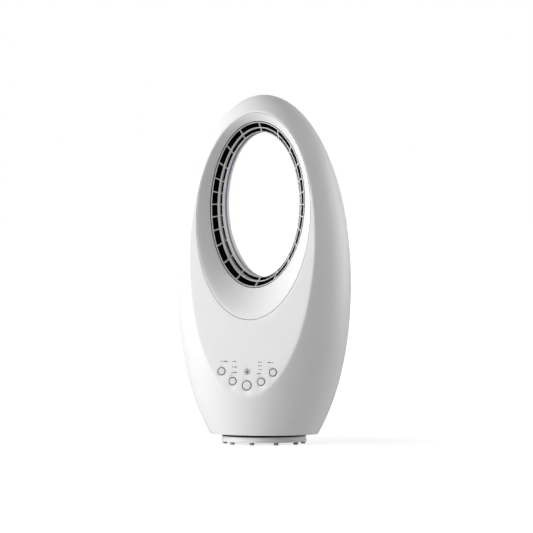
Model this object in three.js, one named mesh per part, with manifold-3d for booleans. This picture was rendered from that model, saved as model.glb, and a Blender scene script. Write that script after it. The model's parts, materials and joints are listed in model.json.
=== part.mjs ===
// Free-standing bladeless fan: an egg-shaped housing, cut flat and leaning at the front,
// with an oval opening that air is blown through from two rows of slots. The housing swings
// on a round base. Millimetres, +Z up, the front faces -Y, the floor is z = 0.

import * as THREE from 'three';
import { mergeVertices } from 'three/addons/utils/BufferGeometryUtils.js';
import Module from 'manifold-3d';

const wasm = await Module();
wasm.setup();

// ---------------------------------------------------------------- driving dimensions

// Fits and walls
const GAP = 0.3;               // clearance between pieces that meet
const SHELL_WALL = 2.6;        // moulded housing wall
const LINER_WALL = 2.4;        // rings that line the opening
const DUCT_WALL = 1.8;         // hidden air ducts

// Base
const BASE_RADIUS = 76.5;
const BASE_HEIGHT = 12.4;      // from the underside of the base to its top
const BASE_WALL = 2.4;
const BASE_FLANGE = 2.2;       // height of the wider lip round the foot of the base
const BASE_TAPER = 1.9;        // the base is this much narrower at its shoulder
const BASE_STEP = 0.5;         // the shoulder swells by this just above the lip
const BASE_EDGE = 1.6;         // chamfer round the top
const FOOT_COUNT = 10;
const FOOT_HEIGHT = 4.4;
const FOOT_RADIUS = 4.2;
const FOOT_INSET = 7;          // foot centre in from the rim
const FOOT_CHAMFER = 0.8;
const PLATE_THICK = 2;
const BALLAST_INNER = 40;
const BALLAST_HEIGHT = 5.5;
const BASE_SCREW_COUNT = 3;
const BASE_SCREW_CIRCLE = 34;

// Swing drive
const SLIDE_RING_THICK = 1.2;
const SLIDE_RING_RADIUS = 64;
const SLIDE_RING_WIDTH = 6;
const PIVOT_RADIUS = 14;
const PIVOT_BORE = 10;
const PIVOT_FLANGE = 28;
const PIVOT_FLANGE_THICK = 2;
const RETAINER_THICK = 2;
const RETAINER_WIDTH = 8;
const GEAR_MODULE = 2;
const SUN_TEETH = 22;
const PINION_TEETH = 10;
const GEAR_THICK = 6;
const PRESSURE_ANGLE = THREE.MathUtils.degToRad(20);
const TOOTH_BACKLASH = 0.5;
const TOOTH_TIP = 0.9;                 // teeth stand this many modules out of the pitch circle
const TOOTH_ROOT = 1.2;                // and reach this many modules into it
const SWING_MOTOR_RADIUS = 22;
const SWING_MOTOR_HEIGHT = 15;
const SWING_MOTOR_EDGE = 1;    // chamfer round both ends
const SWING_SHAFT_RADIUS = 2.5;
const BRACKET_THICK = 2;
const BRACKET_WIDTH = 18;
const BRACKET_LEG = 4;
const BRACKET_LEG_WIDTH = 10;
const PINION_BEARING = THREE.MathUtils.degToRad(90);   // the pinion sits behind the pivot

// Housing, with heights measured up from its own lower edge
const UNDER_GAP = 1;           // air between the base and the housing
const CROWN_H = 602.2;
const HALF_WIDTH = 158.7;
const WIDEST_H = 272.9;
const LOWER_WIDTH_SPAN = 341.3;
const LOWER_WIDTH_POWER = 2.1;
const HALF_DEPTH = 111.5;
const DEEPEST_H = 192.2;
const UPPER_DEPTH_POWER = 1.85;
const LOWER_DEPTH_SPAN = 292;
const FLOOR_THICK = 3;

// Flat front, which leans back towards the crown
const PANEL_REACH = 59.8;      // forward of the swing axis, at the height of the opening's centre
const PANEL_LEAN = THREE.MathUtils.degToRad(6.9);

// Opening, as ovals about its centre line
const HOLE_DROP = 194.7;       // centre of the opening below the crown
const SEAM = { halfWidth: 106.3, halfHeight: 183, drop: 20.5 };
const GROOVE = { halfWidth: 88, halfHeight: 147.4, drop: 0 };
const HOOP = { halfWidth: 78.2, halfHeight: 137.2, drop: 0 };
const THROAT = { halfWidth: 71.4, halfHeight: 128.5, drop: 0 };
const REAR_RIM = { halfWidth: 92, halfHeight: 152, drop: 0 };
const GROOVE_REACH = [33, 38, 57];     // forward at the top, the sides and the bottom
const THROAT_REACH = [14.2, 18.2, 22.2];
const FUNNEL_SWELL = 0.22;             // how far the funnel bows out between its rims

// Outlet grille: stations run from 0 at the groove to 1 at the throat
const RIB_COUNT = 24;
const RIB_THICK = 1.8;
const RIB_DEPTH = 5;
const RIB_SET_BACK = 0.7;      // ribs lie this far behind the grille's face
const RIB_BITE = 0.05;         // stations that a rib runs into the rim
const GROOVE_GAP = 1.2;        // open groove between the funnel and the grille
const RIM_END = 0.11;
const HOOP_THICK = 2;
const HOOP_BACK = -14;         // the hoop's rear edge lies in one upright plane
const THROAT_LIP = -5.3;       // the grille's straight lip ends here
const LIP_EDGE = 0.9;          // the lip thins to this at its front
const ACCENT_WIDTH = 10.2;
const FLARE_Y = 18.5;          // the throat opens out from here to the back
const DUCT_BACK = 17;

// Blower
const SHROUD_RADIUS = 58;
const SHROUD_WALL = 2;
const BELL_H = 46.3;
const BELL_MOUTH = 48;
const BELL_LIP = 6;
const BELL_FLANGE = 2;
const BELL_WALL = 2;
const BELL_CLEARANCE = 6;      // from the bell's lip up to the impeller
const BUCKET_CLEARANCE = 3;    // from the impeller up to the motor bucket
const SHROUD_HEIGHT = 128;
const SHAFT_RADIUS = 3;
const BLADE_COUNT = 7;
const BLADE_THICK = 1.8;
const BLADE_RUNNING_GAP = 1.5;
const BLADE_SWEEP = 0.75;      // radians from a blade's foot to its top, before it curls further
const BLADE_CURL = 0.25;       // share of the sweep added towards the top
const BLADE_ROOT = 2;          // depth of a blade's root in the hub
const IMPELLER_HEIGHT = 27;
const HUB_FOOT_RADIUS = 15;
const HUB_TOP_RADIUS = 34;
const HUB_FLARE = 1.4;         // above 1, the hub widens faster towards its top
const VANE_COUNT = 5;
const VANE_SWEEP = -0.4;
const VANE_SHARE = 0.6;        // of the motor bucket's height
const BUCKET_HEIGHT = 58;
const BUCKET_WALL = 2;
const MOTOR_RADIUS = 27;
const MOTOR_HEIGHT = 44;
const CAP_HEIGHT = 15;
const POST_CIRCLE = 54;
const POST_RADIUS = 5;
const POST_PIN = 2.4;
const BUSH_RADIUS = 7;
const BUSH_HEIGHT = 5.4;
const RISER = { halfWidth: 52, halfDepth: 18, y: -4 };
const SEAL_THICK = 1.6;

// Control panel: button centres from the middle button, across and up the front
const MIDDLE_BUTTON_H = 89.2;
const BUTTONS = [
  { across: -47.7, up: 24.6, radius: 7.2 },
  { across: -26.4, up: 7.2, radius: 7.2 },
  { across: 0, up: 0, radius: 8.8 },
  { across: 26.4, up: 6.9, radius: 7.2 },
  { across: 47.7, up: 23.4, radius: 7.2 },
];
const BUTTON_TRAVEL = 0.8;
const BUTTON_PROUD = 0.5;
const BUTTON_FLANGE = 1.2;
const BUTTON_DISH = 0.3;       // depth of the dished face
const BUTTON_EDGE = 0.6;       // its chamfered edge
const BUTTON_STEM = 2.5;
const BUTTON_STEM_LENGTH = 3;
const SWITCH_HEIGHT = 3.4;
const SWITCH_SIZE = 6;
const BOARD_THICK = 1.6;
const BOARD = { halfWidth: 59, bottom: -5, top: 41 };
const BOARD_POST_RADIUS = 2.6;
const BOARD_POST_INSET = 5;
const LOW_POST_INSET = 22;     // the lower pegs stand further in, clear of the outer buttons
const RECEIVER = { across: 0, up: 24.3, radius: 3.2 };

// Intake at the back
const INTAKE = { halfWidth: 78, halfHeight: 52, h: 112 };
const INTAKE_SLOTS = 6;
const INTAKE_BAR = 4.2;
const INTAKE_SPINE = 4;
const INTAKE_END = 6.7;        // solid edge beyond the ends of the slots
const FILTER_THICK = 3;
const POWER_BOARD = { halfWidth: 34, height: 34, y: 68 };
const TRANSFORMER = { x: -17, width: 18, depth: 12, bottom: 8, height: 18 };
const RELAY = { x: 18, width: 16, depth: 9, bottom: 12, height: 12 };
const GLAND = { h: 26, radius: 6.5, flange: 9, rim: 1.2, bore: 3.7, reach: 8, nose: 3 };

// Screws that pull the two shells together
const SHELL_SCREW_HEIGHTS = [150, 320];
const SHELL_SCREW_INSET = 28;  // in from the outline
const SCREW_RADIUS = 1.7;
const SCREW_HEAD = 3.4;
const SCREW_HEAD_THICK = 2.2;
const SCREW_GRIP = 10;
const BOSS_WALL = 2.4;

// Fineness of the curved faces
const RING_STEPS = 2 * RIB_COUNT;
const EGG_STEPS = 28;
const EGG_LOWER_ROWS = 5;
const EGG_UPPER_ROWS = 8;
const INSIDE_STEPS = 16;
const INSIDE_LOWER_ROWS = 3;
const INSIDE_UPPER_ROWS = 4;
const ROUND = 16;
const BASE_ROUND = 24;
const BUTTON_ROUND = 10;
const SMALL_ROUND = 8;
const BLADE_STATIONS = 3;
const BLADE_START = 0.15;      // turn of the first blade and vane, clear of the hub's edges

const CROWN_SPREAD = 0.9;      // below 1, the rows lie closer together near the crown
const MERGE = 0.01;            // facets that agree to this are merged after a cut

// ---------------------------------------------------------------- worked-out heights

const BASE_TOP_Z = FOOT_HEIGHT + BASE_HEIGHT;
const HOUSING_Z = BASE_TOP_Z + UNDER_GAP;
const FLOOR_BOTTOM_H = GAP + SLIDE_RING_THICK + GAP - UNDER_GAP;
const FLOOR_TOP_H = FLOOR_BOTTOM_H + FLOOR_THICK;
const RETAINER_H = FLOOR_TOP_H + GAP;
const GEAR_H = RETAINER_H + RETAINER_THICK + GAP;
const BRACKET_H = GEAR_H + GEAR_THICK + RETAINER_THICK;
const SWING_MOTOR_H = BRACKET_H + BRACKET_THICK + GAP;
const PIVOT_TOP_Z = HOUSING_Z + GEAR_H + GEAR_THICK + GAP;
const SHROUD_H = BELL_H + BELL_FLANGE + GAP;
const SHROUD_TOP_H = SHROUD_H + SHROUD_HEIGHT;
const IMPELLER_H = BELL_H + BELL_LIP + BELL_CLEARANCE;
const BUCKET_H = IMPELLER_H + IMPELLER_HEIGHT + BUCKET_CLEARANCE;
const MOTOR_H = BUCKET_H + BUCKET_WALL + GAP;
const HOLE_H = CROWN_H - HOLE_DROP;
const PANEL_SLOPE = Math.tan(PANEL_LEAN);
const FLANGE_TOP_Z = -(SHELL_WALL + GAP);     // of a button, below the face of the flat front
const SWITCH_TOP_Z = FLANGE_TOP_Z - BUTTON_FLANGE - BUTTON_STEM_LENGTH - BUTTON_TRAVEL - GAP;
const BOARD_Z = SWITCH_TOP_Z - SWITCH_HEIGHT;

// ---------------------------------------------------------------- mesh helpers

// Points and faces with doubles merged, slivers dropped and every face turned outwards.
function cleanMesh(geometry) {
  const bare = geometry.clone();
  bare.deleteAttribute('normal');
  bare.deleteAttribute('uv');
  const merged = mergeVertices(bare, 1e-3);
  const points = merged.attributes.position;
  const source = merged.index.array;
  const faces = [];
  let volume = 0;
  const [a, b, c] = [new THREE.Vector3(), new THREE.Vector3(), new THREE.Vector3()];
  for (let i = 0; i < source.length; i += 3) {
    const [p, q, r] = [source[i], source[i + 1], source[i + 2]];
    if (p === q || q === r || r === p) continue;
    faces.push(p, q, r);
    a.fromBufferAttribute(points, p);
    b.fromBufferAttribute(points, q);
    c.fromBufferAttribute(points, r);
    volume += a.dot(b.cross(c));
  }
  if (volume < 0) faces.reverse();
  const result = new THREE.BufferGeometry();
  result.setAttribute('position', points);
  result.setIndex(faces);
  return result;
}

function solidOf(geometry) {
  const mesh = cleanMesh(geometry);
  return new wasm.Manifold(new wasm.Mesh({
    numProp: 3,
    vertProperties: new Float32Array(mesh.attributes.position.array),
    triVerts: new Uint32Array(mesh.index.array),
  }));
}

function geometryOf(solid) {
  const mesh = solid.simplify(MERGE).getMesh();
  const geometry = new THREE.BufferGeometry();
  geometry.setAttribute('position', new THREE.BufferAttribute(mesh.vertProperties, 3));
  geometry.setIndex(new THREE.BufferAttribute(mesh.triVerts, 1));
  return geometry;
}

function joined(...geometries) {
  return geometryOf(geometries.map(solidOf).reduce((sum, next) => sum.add(next)));
}

function cut(geometry, ...tools) {
  return geometryOf(tools.map(solidOf).reduce((rest, tool) => rest.subtract(tool), solidOf(geometry)));
}

function common(geometry, other) {
  return geometryOf(solidOf(geometry).intersect(solidOf(other)));
}

// Skin over rows of points, each row a closed loop. The rows either wrap round into a ring
// or end in flat caps; an apex closes the last row to a point instead. The columns in swapped
// are split along their other diagonal, so that both sides of a thin twisted sheet agree.
function skin(rows, { wrapped = false, apex = null, swapped = [] } = {}) {
  const width = rows[0].length;
  const points = rows.flat();
  const faces = [];
  const spans = wrapped ? rows.length : rows.length - 1;
  for (let row = 0; row < spans; row += 1) {
    const here = row * width;
    const next = ((row + 1) % rows.length) * width;
    for (let i = 0; i < width; i += 1) {
      const j = (i + 1) % width;
      const [start, end] = swapped.includes(i) ? [j, i] : [i, j];
      faces.push(here + i, here + j, next + end, here + start, next + j, next + i);
    }
  }
  if (!wrapped) {
    const top = (rows.length - 1) * width;
    for (let i = 1; i < width - 1; i += 1) faces.push(0, i + 1, i);
    if (apex) {
      points.push(apex);
      for (let i = 0; i < width; i += 1) faces.push(top + i, top + ((i + 1) % width), points.length - 1);
    } else {
      for (let i = 1; i < width - 1; i += 1) faces.push(top, top + i, top + i + 1);
    }
  }
  const geometry = new THREE.BufferGeometry();
  geometry.setAttribute('position', new THREE.Float32BufferAttribute(points.flatMap((p) => [p.x, p.y, p.z]), 3));
  geometry.setIndex(faces);
  return geometry;
}

// Profile of [radius, height] pairs turned about the Z axis; a loop closes on itself.
function turned(profile, segments, { loop = true } = {}) {
  const points = profile.map(([radius, height]) => new THREE.Vector2(radius, height));
  if (loop) points.push(points[0].clone());
  return new THREE.LatheGeometry(points, segments).rotateX(Math.PI / 2);
}

function post(radius, bottom, top, segments = SMALL_ROUND) {
  return new THREE.CylinderGeometry(radius, radius, top - bottom, segments)
    .rotateX(Math.PI / 2)
    .translate(0, 0, (bottom + top) / 2);
}

function washer(inner, outer, bottom, top, segments = ROUND) {
  return turned([[inner, bottom], [outer, bottom], [outer, top], [inner, top]], segments);
}

function block(x0, x1, y0, y1, z0, z1) {
  return new THREE.BoxGeometry(x1 - x0, y1 - y0, z1 - z0)
    .translate((x0 + x1) / 2, (y0 + y1) / 2, (z0 + z1) / 2);
}

function plate(shape, bottom, thickness) {
  return new THREE.ExtrudeGeometry(shape, { depth: thickness, bevelEnabled: false, curveSegments: SMALL_ROUND })
    .translate(0, 0, bottom);
}

const onCircle = (count, index, start = 0) => start + (2 * Math.PI * index) / count;

// Angles round the opening: each rib meets the middle of a facet.
const ringAngle = (index) => onCircle(RING_STEPS, index + 0.5);

// Radius of the circle that fits inside a round hole's facets.
const insideFacets = (radius) => radius * Math.cos(Math.PI / ROUND);

// ---------------------------------------------------------------- housing form

// One quadrant rule for both outlines: full size at the waist, closing over a span.
function outline(full, offset, span, power) {
  return full * Math.sqrt(Math.max(0, 1 - (Math.abs(offset) / span) ** power));
}

function halfWidthAt(h, inset = 0) {
  const above = h > WIDEST_H;
  const span = above ? CROWN_H - WIDEST_H : LOWER_WIDTH_SPAN;
  return outline(HALF_WIDTH - inset, h - WIDEST_H, span - inset, above ? 2 : LOWER_WIDTH_POWER);
}

function halfDepthAt(h, inset = 0) {
  const above = h > DEEPEST_H;
  const span = above ? CROWN_H - DEEPEST_H : LOWER_DEPTH_SPAN;
  return outline(HALF_DEPTH - inset, h - DEEPEST_H, span - inset, above ? UPPER_DEPTH_POWER : 2);
}

// How far back the outside lies from the swing axis plane, at x and height h.
function backAt(x, h, inset = 0) {
  return outline(halfDepthAt(h, inset), x, halfWidthAt(h, inset), 2);
}

// Solid egg, drawn in by an inset, from a start height to the crown. The inside is coarser.
function egg(inset, bottom) {
  const lowerRows = inset > 0 ? INSIDE_LOWER_ROWS : EGG_LOWER_ROWS;
  const upperRows = inset > 0 ? INSIDE_UPPER_ROWS : EGG_UPPER_ROWS;
  const steps = inset > 0 ? INSIDE_STEPS : EGG_STEPS;
  const heights = [];
  for (let i = 0; i <= lowerRows; i += 1) {
    heights.push(bottom + ((WIDEST_H - bottom) * i) / lowerRows);
  }
  for (let i = 1; i < upperRows; i += 1) {
    const rise = Math.sin((Math.PI / 2) * (i / upperRows) ** CROWN_SPREAD);
    heights.push(WIDEST_H + (CROWN_H - inset - WIDEST_H) * rise);
  }
  const rows = heights.map((h) => {
    const [a, b] = [halfWidthAt(h, inset), halfDepthAt(h, inset)];
    return Array.from({ length: steps }, (_, i) => {
      const angle = onCircle(steps, i);
      return new THREE.Vector3(a * Math.cos(angle), b * Math.sin(angle), h);
    });
  });
  return skin(rows, { apex: new THREE.Vector3(0, 0, CROWN_H - inset) });
}

function panelReachAt(h) {
  return PANEL_REACH + PANEL_SLOPE * (HOLE_H - h);
}

// Frame on the flat front: x across, y up the slope, z straight out of it.
function panelFrame(h) {
  return new THREE.Matrix4()
    .makeRotationX(Math.PI / 2 - PANEL_LEAN)
    .setPosition(0, -panelReachAt(h), h);
}

// Everything in front of the flat front, moved back into the body by an inset.
function frontSpace(inset) {
  const size = 3 * CROWN_H;
  return block(-size, size, -size, size, -inset, size).applyMatrix4(panelFrame(HOLE_H));
}

function bodyForm(inset, bottom) {
  return cut(egg(inset, bottom), frontSpace(inset));
}

// ---------------------------------------------------------------- opening

// Distance from the opening's centre to an oval, along a ray at the given angle.
function ovalRadius(oval, angle, grow = 0) {
  const [p, q] = [oval.halfWidth + grow, oval.halfHeight + grow];
  const [c, s] = [Math.cos(angle), Math.sin(angle)];
  const a = (c / p) ** 2 + (s / q) ** 2;
  const b = (2 * oval.drop * s) / q ** 2;
  const rest = (oval.drop / q) ** 2 - 1;
  return (-b + Math.sqrt(b * b - 4 * a * rest)) / (2 * a);
}

// Smooth reach through its values at the top, the sides and the bottom of an oval.
function reachAt([top, side, bottom], h, halfHeight) {
  const down = (HOLE_H - h) / halfHeight;
  const slope = (bottom - top) / 2;
  const curve = (bottom + top) / 2 - side;
  return side + slope * down + curve * down * down;
}

// Point at a radius on the ray at an angle, y forward or back.
function ringPoint(angle, radius, y) {
  return new THREE.Vector3(radius * Math.cos(angle), y, HOLE_H + radius * Math.sin(angle));
}

// Ring round the opening whose section, as [radius, y] pairs, is worked out at each angle.
function openingRing(sectionAt) {
  const rows = Array.from({ length: RING_STEPS }, (_, i) => {
    const angle = ringAngle(i);
    return sectionAt(angle).map(([radius, y]) => ringPoint(angle, radius, y));
  });
  return skin(rows, { wrapped: true });
}

// Solid oval bar through the body, for cutting.
function ovalBar(oval, grow, front, back) {
  const row = (y) => Array.from({ length: RING_STEPS }, (_, i) => {
    const angle = ringAngle(i);
    return ringPoint(angle, ovalRadius(oval, angle, grow), y);
  });
  return skin([row(front), row(back)]);
}

const grooveRadius = (angle) => ovalRadius(GROOVE, angle);
const throatRadius = (angle) => ovalRadius(THROAT, angle);
const heightOn = (angle, radius) => HOLE_H + radius * Math.sin(angle);

function grooveY(angle) {
  return -reachAt(GROOVE_REACH, heightOn(angle, grooveRadius(angle)), GROOVE.halfHeight);
}

function throatY(angle) {
  return -reachAt(THROAT_REACH, heightOn(angle, throatRadius(angle)), THROAT.halfHeight);
}

// Funnel from the seam in the flat front down to the groove round the grille.
function funnelRing() {
  return openingRing((angle) => {
    const rim = ovalRadius(SEAM, angle, -GAP);
    const rimY = -panelReachAt(heightOn(angle, rim));
    const inner = grooveRadius(angle);
    const innerY = grooveY(angle);
    const along = (t) => {
      const bow = t + FUNNEL_SWELL * t * (1 - t);
      return [rim + (inner - rim) * t, rimY + (innerY - rimY) * bow];
    };
    const front = [0, 0.33, 0.67, 1].map(along);
    const back = [1, 0].map((t) => [along(t)[0], along(t)[1] + LINER_WALL]);
    return [...front, ...back];
  });
}

// Point on the grille's cone at a station, set back into the duct by a depth.
function grillePoint(angle, station, depth) {
  const start = [grooveRadius(angle) - GROOVE_GAP, grooveY(angle)];
  const end = [throatRadius(angle), throatY(angle)];
  const run = [end[0] - start[0], end[1] - start[1]];
  const length = Math.hypot(...run);
  return [
    start[0] + run[0] * station + (run[1] / length) * depth,
    start[1] + run[1] * station - (run[0] / length) * depth,
  ];
}

// Station at which the grille's cone passes a radius.
function stationAt(angle, radius) {
  const start = grooveRadius(angle) - GROOVE_GAP;
  return (start - radius) / (start - throatRadius(angle));
}

// One radial rib, flat in the plane through the opening's centre line. Its inner end lies
// in the thin edge of the lip.
function grilleRib(angle) {
  const [radius, front] = [throatRadius(angle), throatY(angle)];
  const hoop = stationAt(angle, ovalRadius(HOOP, angle));
  const section = [
    grillePoint(angle, RIM_END - RIB_BITE, RIB_SET_BACK),
    [radius + LIP_EDGE / 2, front + RIB_SET_BACK],
    [radius + LIP_EDGE, front + RIB_DEPTH / 2],
    grillePoint(angle, hoop, RIB_DEPTH),
    grillePoint(angle, 3 * RIM_END, RIB_DEPTH),
  ];
  const side = new THREE.Vector3(-Math.sin(angle), 0, Math.cos(angle));
  const row = (offset) => section.map(([r, y]) => (
    ringPoint(angle, r, y).addScaledVector(side, offset)
  ));
  return skin([row(-RIB_THICK / 2), row(RIB_THICK / 2)]);
}

// Outlet grille: front rim, louvre hoop and throat lip, joined by the ribs.
function outletGrille() {
  const rim = openingRing((angle) => [
    grillePoint(angle, 0, 0),
    grillePoint(angle, RIM_END, 0),
    grillePoint(angle, RIM_END, LINER_WALL),
    [grooveRadius(angle) - GROOVE_GAP, grooveY(angle) + LINER_WALL],
  ]);
  const hoop = openingRing((angle) => {
    const outer = ovalRadius(HOOP, angle);
    const inner = outer - HOOP_THICK;
    return [
      grillePoint(angle, stationAt(angle, outer), 0),
      grillePoint(angle, stationAt(angle, inner), 0),
      [inner, HOOP_BACK],
      [outer, HOOP_BACK],
    ];
  });
  const lip = openingRing((angle) => {
    const [radius, front] = [throatRadius(angle), throatY(angle)];
    return [
      [radius, front],
      [radius, THROAT_LIP],
      [radius + LINER_WALL, THROAT_LIP],
      [radius + LIP_EDGE, front],
    ];
  });
  const ribs = Array.from({ length: RIB_COUNT }, (_, i) => grilleRib(onCircle(RIB_COUNT, i)));
  return joined(rim, hoop, lip, ...ribs);
}

function accentRing() {
  const front = THROAT_LIP + GAP;
  return openingRing((angle) => {
    const radius = throatRadius(angle);
    return [
      [radius, front],
      [radius, front + ACCENT_WIDTH],
      [radius + LINER_WALL, front + ACCENT_WIDTH],
      [radius + LINER_WALL, front],
    ];
  });
}

// Rear lining: straight behind the accent ring, then opening out to the back of the body.
function throatRing() {
  const front = THROAT_LIP + GAP + ACCENT_WIDTH + GAP;
  return openingRing((angle) => {
    const radius = throatRadius(angle);
    const rim = ovalRadius(REAR_RIM, angle);
    const rimY = backAt(rim * Math.cos(angle), heightOn(angle, rim));
    return [
      [radius, front],
      [radius, FLARE_Y],
      [rim, rimY],
      [rim, rimY - SHELL_WALL],
      [radius + LINER_WALL, FLARE_Y - LINER_WALL / 2],
      [radius + LINER_WALL, front],
    ];
  });
}

// Trough behind the grille that carries the air round the opening.
function ductRing() {
  const trough = openingRing((angle) => {
    const inner = throatRadius(angle) + LINER_WALL + GAP;
    const outer = grooveRadius(angle) + DUCT_WALL;
    const lip = grooveY(angle) + LINER_WALL;
    return [
      [inner, DUCT_BACK - DUCT_WALL],
      [outer, DUCT_BACK - DUCT_WALL],
      [outer, lip],
      [outer + DUCT_WALL, lip],
      [outer + DUCT_WALL, DUCT_BACK],
      [inner, DUCT_BACK],
    ];
  });
  return cut(trough, riserBar(-DUCT_WALL, SHROUD_TOP_H, HOLE_H - THROAT.halfHeight - 4 * DUCT_WALL));
}

function riserBar(grow, bottom, top) {
  const [x, y] = [RISER.halfWidth + grow, RISER.halfDepth + grow];
  return block(-x, x, RISER.y - y, RISER.y + y, bottom, top);
}

// Square duct from the blower up to the trough, cut to the trough's underside.
function riserDuct() {
  const bottom = SHROUD_TOP_H + SEAL_THICK + 2 * GAP;
  const top = HOLE_H - GROOVE.halfHeight + 3 * SHELL_WALL;
  const tube = cut(riserBar(0, bottom, top), riserBar(-DUCT_WALL, bottom - 1, top + 1));
  const size = 2 * HALF_DEPTH;
  return cut(tube, ovalBar(GROOVE, 2 * DUCT_WALL + GAP, -size, size));
}

function riserSeal() {
  const bottom = SHROUD_TOP_H + GAP;
  const top = bottom + SEAL_THICK;
  return cut(riserBar(0, bottom, top), riserBar(-DUCT_WALL, bottom - 1, top + 1));
}

// ---------------------------------------------------------------- shells

function alongY(geometry, x, y, h) {
  return geometry.rotateX(-Math.PI / 2).translate(x, y, h);
}

const SHELL_SCREWS = SHELL_SCREW_HEIGHTS.flatMap((h) => (
  [-1, 1].map((side) => ({ x: side * (halfWidthAt(h) - SHELL_SCREW_INSET), h }))
));

// Boss that runs from the parting plane to the wall, kept inside the body form.
function boss(screw, side) {
  const radius = SCREW_HEAD + GAP + BOSS_WALL;
  const bar = alongY(post(radius, 0, HALF_DEPTH, SMALL_ROUND), screw.x, 0, screw.h);
  if (side < 0) bar.translate(0, -HALF_DEPTH, 0);
  return common(bar, bodyForm(SHELL_WALL / 2, 0));
}

function screwHole(radius, from, to, screw) {
  return alongY(post(radius, from, to, SMALL_ROUND), screw.x, 0, screw.h);
}

function behind(y) {
  const size = 3 * CROWN_H;
  return block(-size, size, y, size, -size, size);
}

function inFront(y) {
  const size = 3 * CROWN_H;
  return block(-size, size, -size, y, -size, size);
}

const bodyShell = cut(bodyForm(0, 0), bodyForm(SHELL_WALL, -SHELL_WALL));

function buttonHole({ across, up, radius }, reach) {
  return post(radius + GAP, -reach, reach, BUTTON_ROUND)
    .translate(across, up, 0)
    .applyMatrix4(panelFrame(MIDDLE_BUTTON_H));
}

// Pegs behind the front that the control board is fixed to.
function boardPegs() {
  const pegs = [];
  for (const across of [-1, 1]) {
    for (const up of [BOARD.bottom + BOARD_POST_INSET, BOARD.top - BOARD_POST_INSET]) {
      pegs.push(post(BOARD_POST_RADIUS, BOARD_Z + GAP, -SHELL_WALL / 2, SMALL_ROUND)
        .translate(across * (BOARD.halfWidth - (up > 0 ? BOARD_POST_INSET : LOW_POST_INSET)), up, 0)
        .applyMatrix4(panelFrame(MIDDLE_BUTTON_H)));
    }
  }
  return pegs;
}

function frontShell() {
  const half = common(bodyShell, inFront(-GAP / 2));
  const opened = cut(
    half,
    ovalBar(SEAM, 0, -3 * HALF_DEPTH, -FLARE_Y),
    ...BUTTONS.map((button) => buttonHole(button, 2 * SHELL_WALL)),
    buttonHole(RECEIVER, 2 * SHELL_WALL),
  );
  const bosses = SHELL_SCREWS.map((screw) => common(boss(screw, -1), inFront(-GAP / 2)));
  const holes = SHELL_SCREWS.map((screw) => screwHole(SCREW_RADIUS + GAP, -SCREW_GRIP - 2, 1, screw));
  return cut(joined(opened, ...bosses, ...boardPegs()), ...holes);
}

// Oval in the lower back that the intake grille fills.
function intakeBar(grow) {
  const row = (y) => Array.from({ length: ROUND }, (_, i) => {
    const angle = onCircle(ROUND, i);
    return new THREE.Vector3(
      (INTAKE.halfWidth + grow) * Math.cos(angle),
      y,
      INTAKE.h + (INTAKE.halfHeight + grow) * Math.sin(angle),
    );
  });
  return skin([row(HALF_DEPTH / 3), row(2 * HALF_DEPTH)]);
}

function rearShell() {
  const half = common(bodyShell, behind(GAP / 2));
  const opened = cut(
    half,
    ovalBar(REAR_RIM, GAP, FLARE_Y, 3 * HALF_DEPTH),
    intakeBar(GAP),
    onLowerBack(post(GLAND.radius + 2 * GAP, -2 * GLAND.reach, 2 * GLAND.reach, BUTTON_ROUND)),
  );
  const bosses = SHELL_SCREWS.map((screw) => common(boss(screw, 1), behind(GAP / 2)));
  const holes = SHELL_SCREWS.flatMap((screw) => [
    screwHole(SCREW_RADIUS + GAP, -1, SCREW_GRIP + 1, screw),
    screwHole(SCREW_HEAD + GAP, SCREW_GRIP, 2 * HALF_DEPTH, screw),
  ]);
  return cut(joined(opened, ...bosses), ...holes);
}

// Intake grille: the wall inside the oval, with level slots on both sides of a spine.
function intakeGrille() {
  const panel = common(common(bodyShell, behind(GAP / 2)), intakeBar(0));
  const pitch = (2 * INTAKE.halfHeight) / (INTAKE_SLOTS + 1);
  const slots = [];
  for (let i = 1; i <= INTAKE_SLOTS; i += 1) {
    const offset = -INTAKE.halfHeight + pitch * i;
    const reach = INTAKE.halfWidth * Math.sqrt(1 - (offset / INTAKE.halfHeight) ** 2) - INTAKE_END;
    const half = (pitch - INTAKE_BAR) / 2;
    for (const side of [-1, 1]) {
      const [x0, x1] = [side * INTAKE_SPINE, side * reach].sort((m, n) => m - n);
      slots.push(block(x0, x1, 0, 2 * HALF_DEPTH, INTAKE.h + offset - half, INTAKE.h + offset + half));
    }
  }
  return cut(panel, ...slots);
}

// Filter mat that lies against the inside of the intake grille.
function dustFilter() {
  const outer = bodyForm(SHELL_WALL + GAP, -SHELL_WALL);
  const inner = bodyForm(SHELL_WALL + GAP + FILTER_THICK, -SHELL_WALL);
  return common(cut(outer, inner), common(intakeBar(-GAP), behind(GAP)));
}

// ---------------------------------------------------------------- screws

function screw(headZ, length) {
  return turned([
    [0, headZ],
    [SCREW_HEAD * 0.8, headZ],
    [SCREW_HEAD, headZ - SCREW_HEAD_THICK / 2],
    [SCREW_HEAD, headZ - SCREW_HEAD_THICK],
    [SCREW_RADIUS, headZ - SCREW_HEAD_THICK],
    [SCREW_RADIUS, headZ - SCREW_HEAD_THICK - length],
    [0, headZ - SCREW_HEAD_THICK - length - SCREW_RADIUS],
  ], SMALL_ROUND, { loop: false });
}

// ---------------------------------------------------------------- gears

// Polar angle gained along an involute flank between its base circle and a radius.
function involute(baseRadius, radius) {
  const ratio = Math.min(1, baseRadius / radius);
  const angle = Math.acos(ratio);
  return Math.tan(angle) - angle;
}

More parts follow.
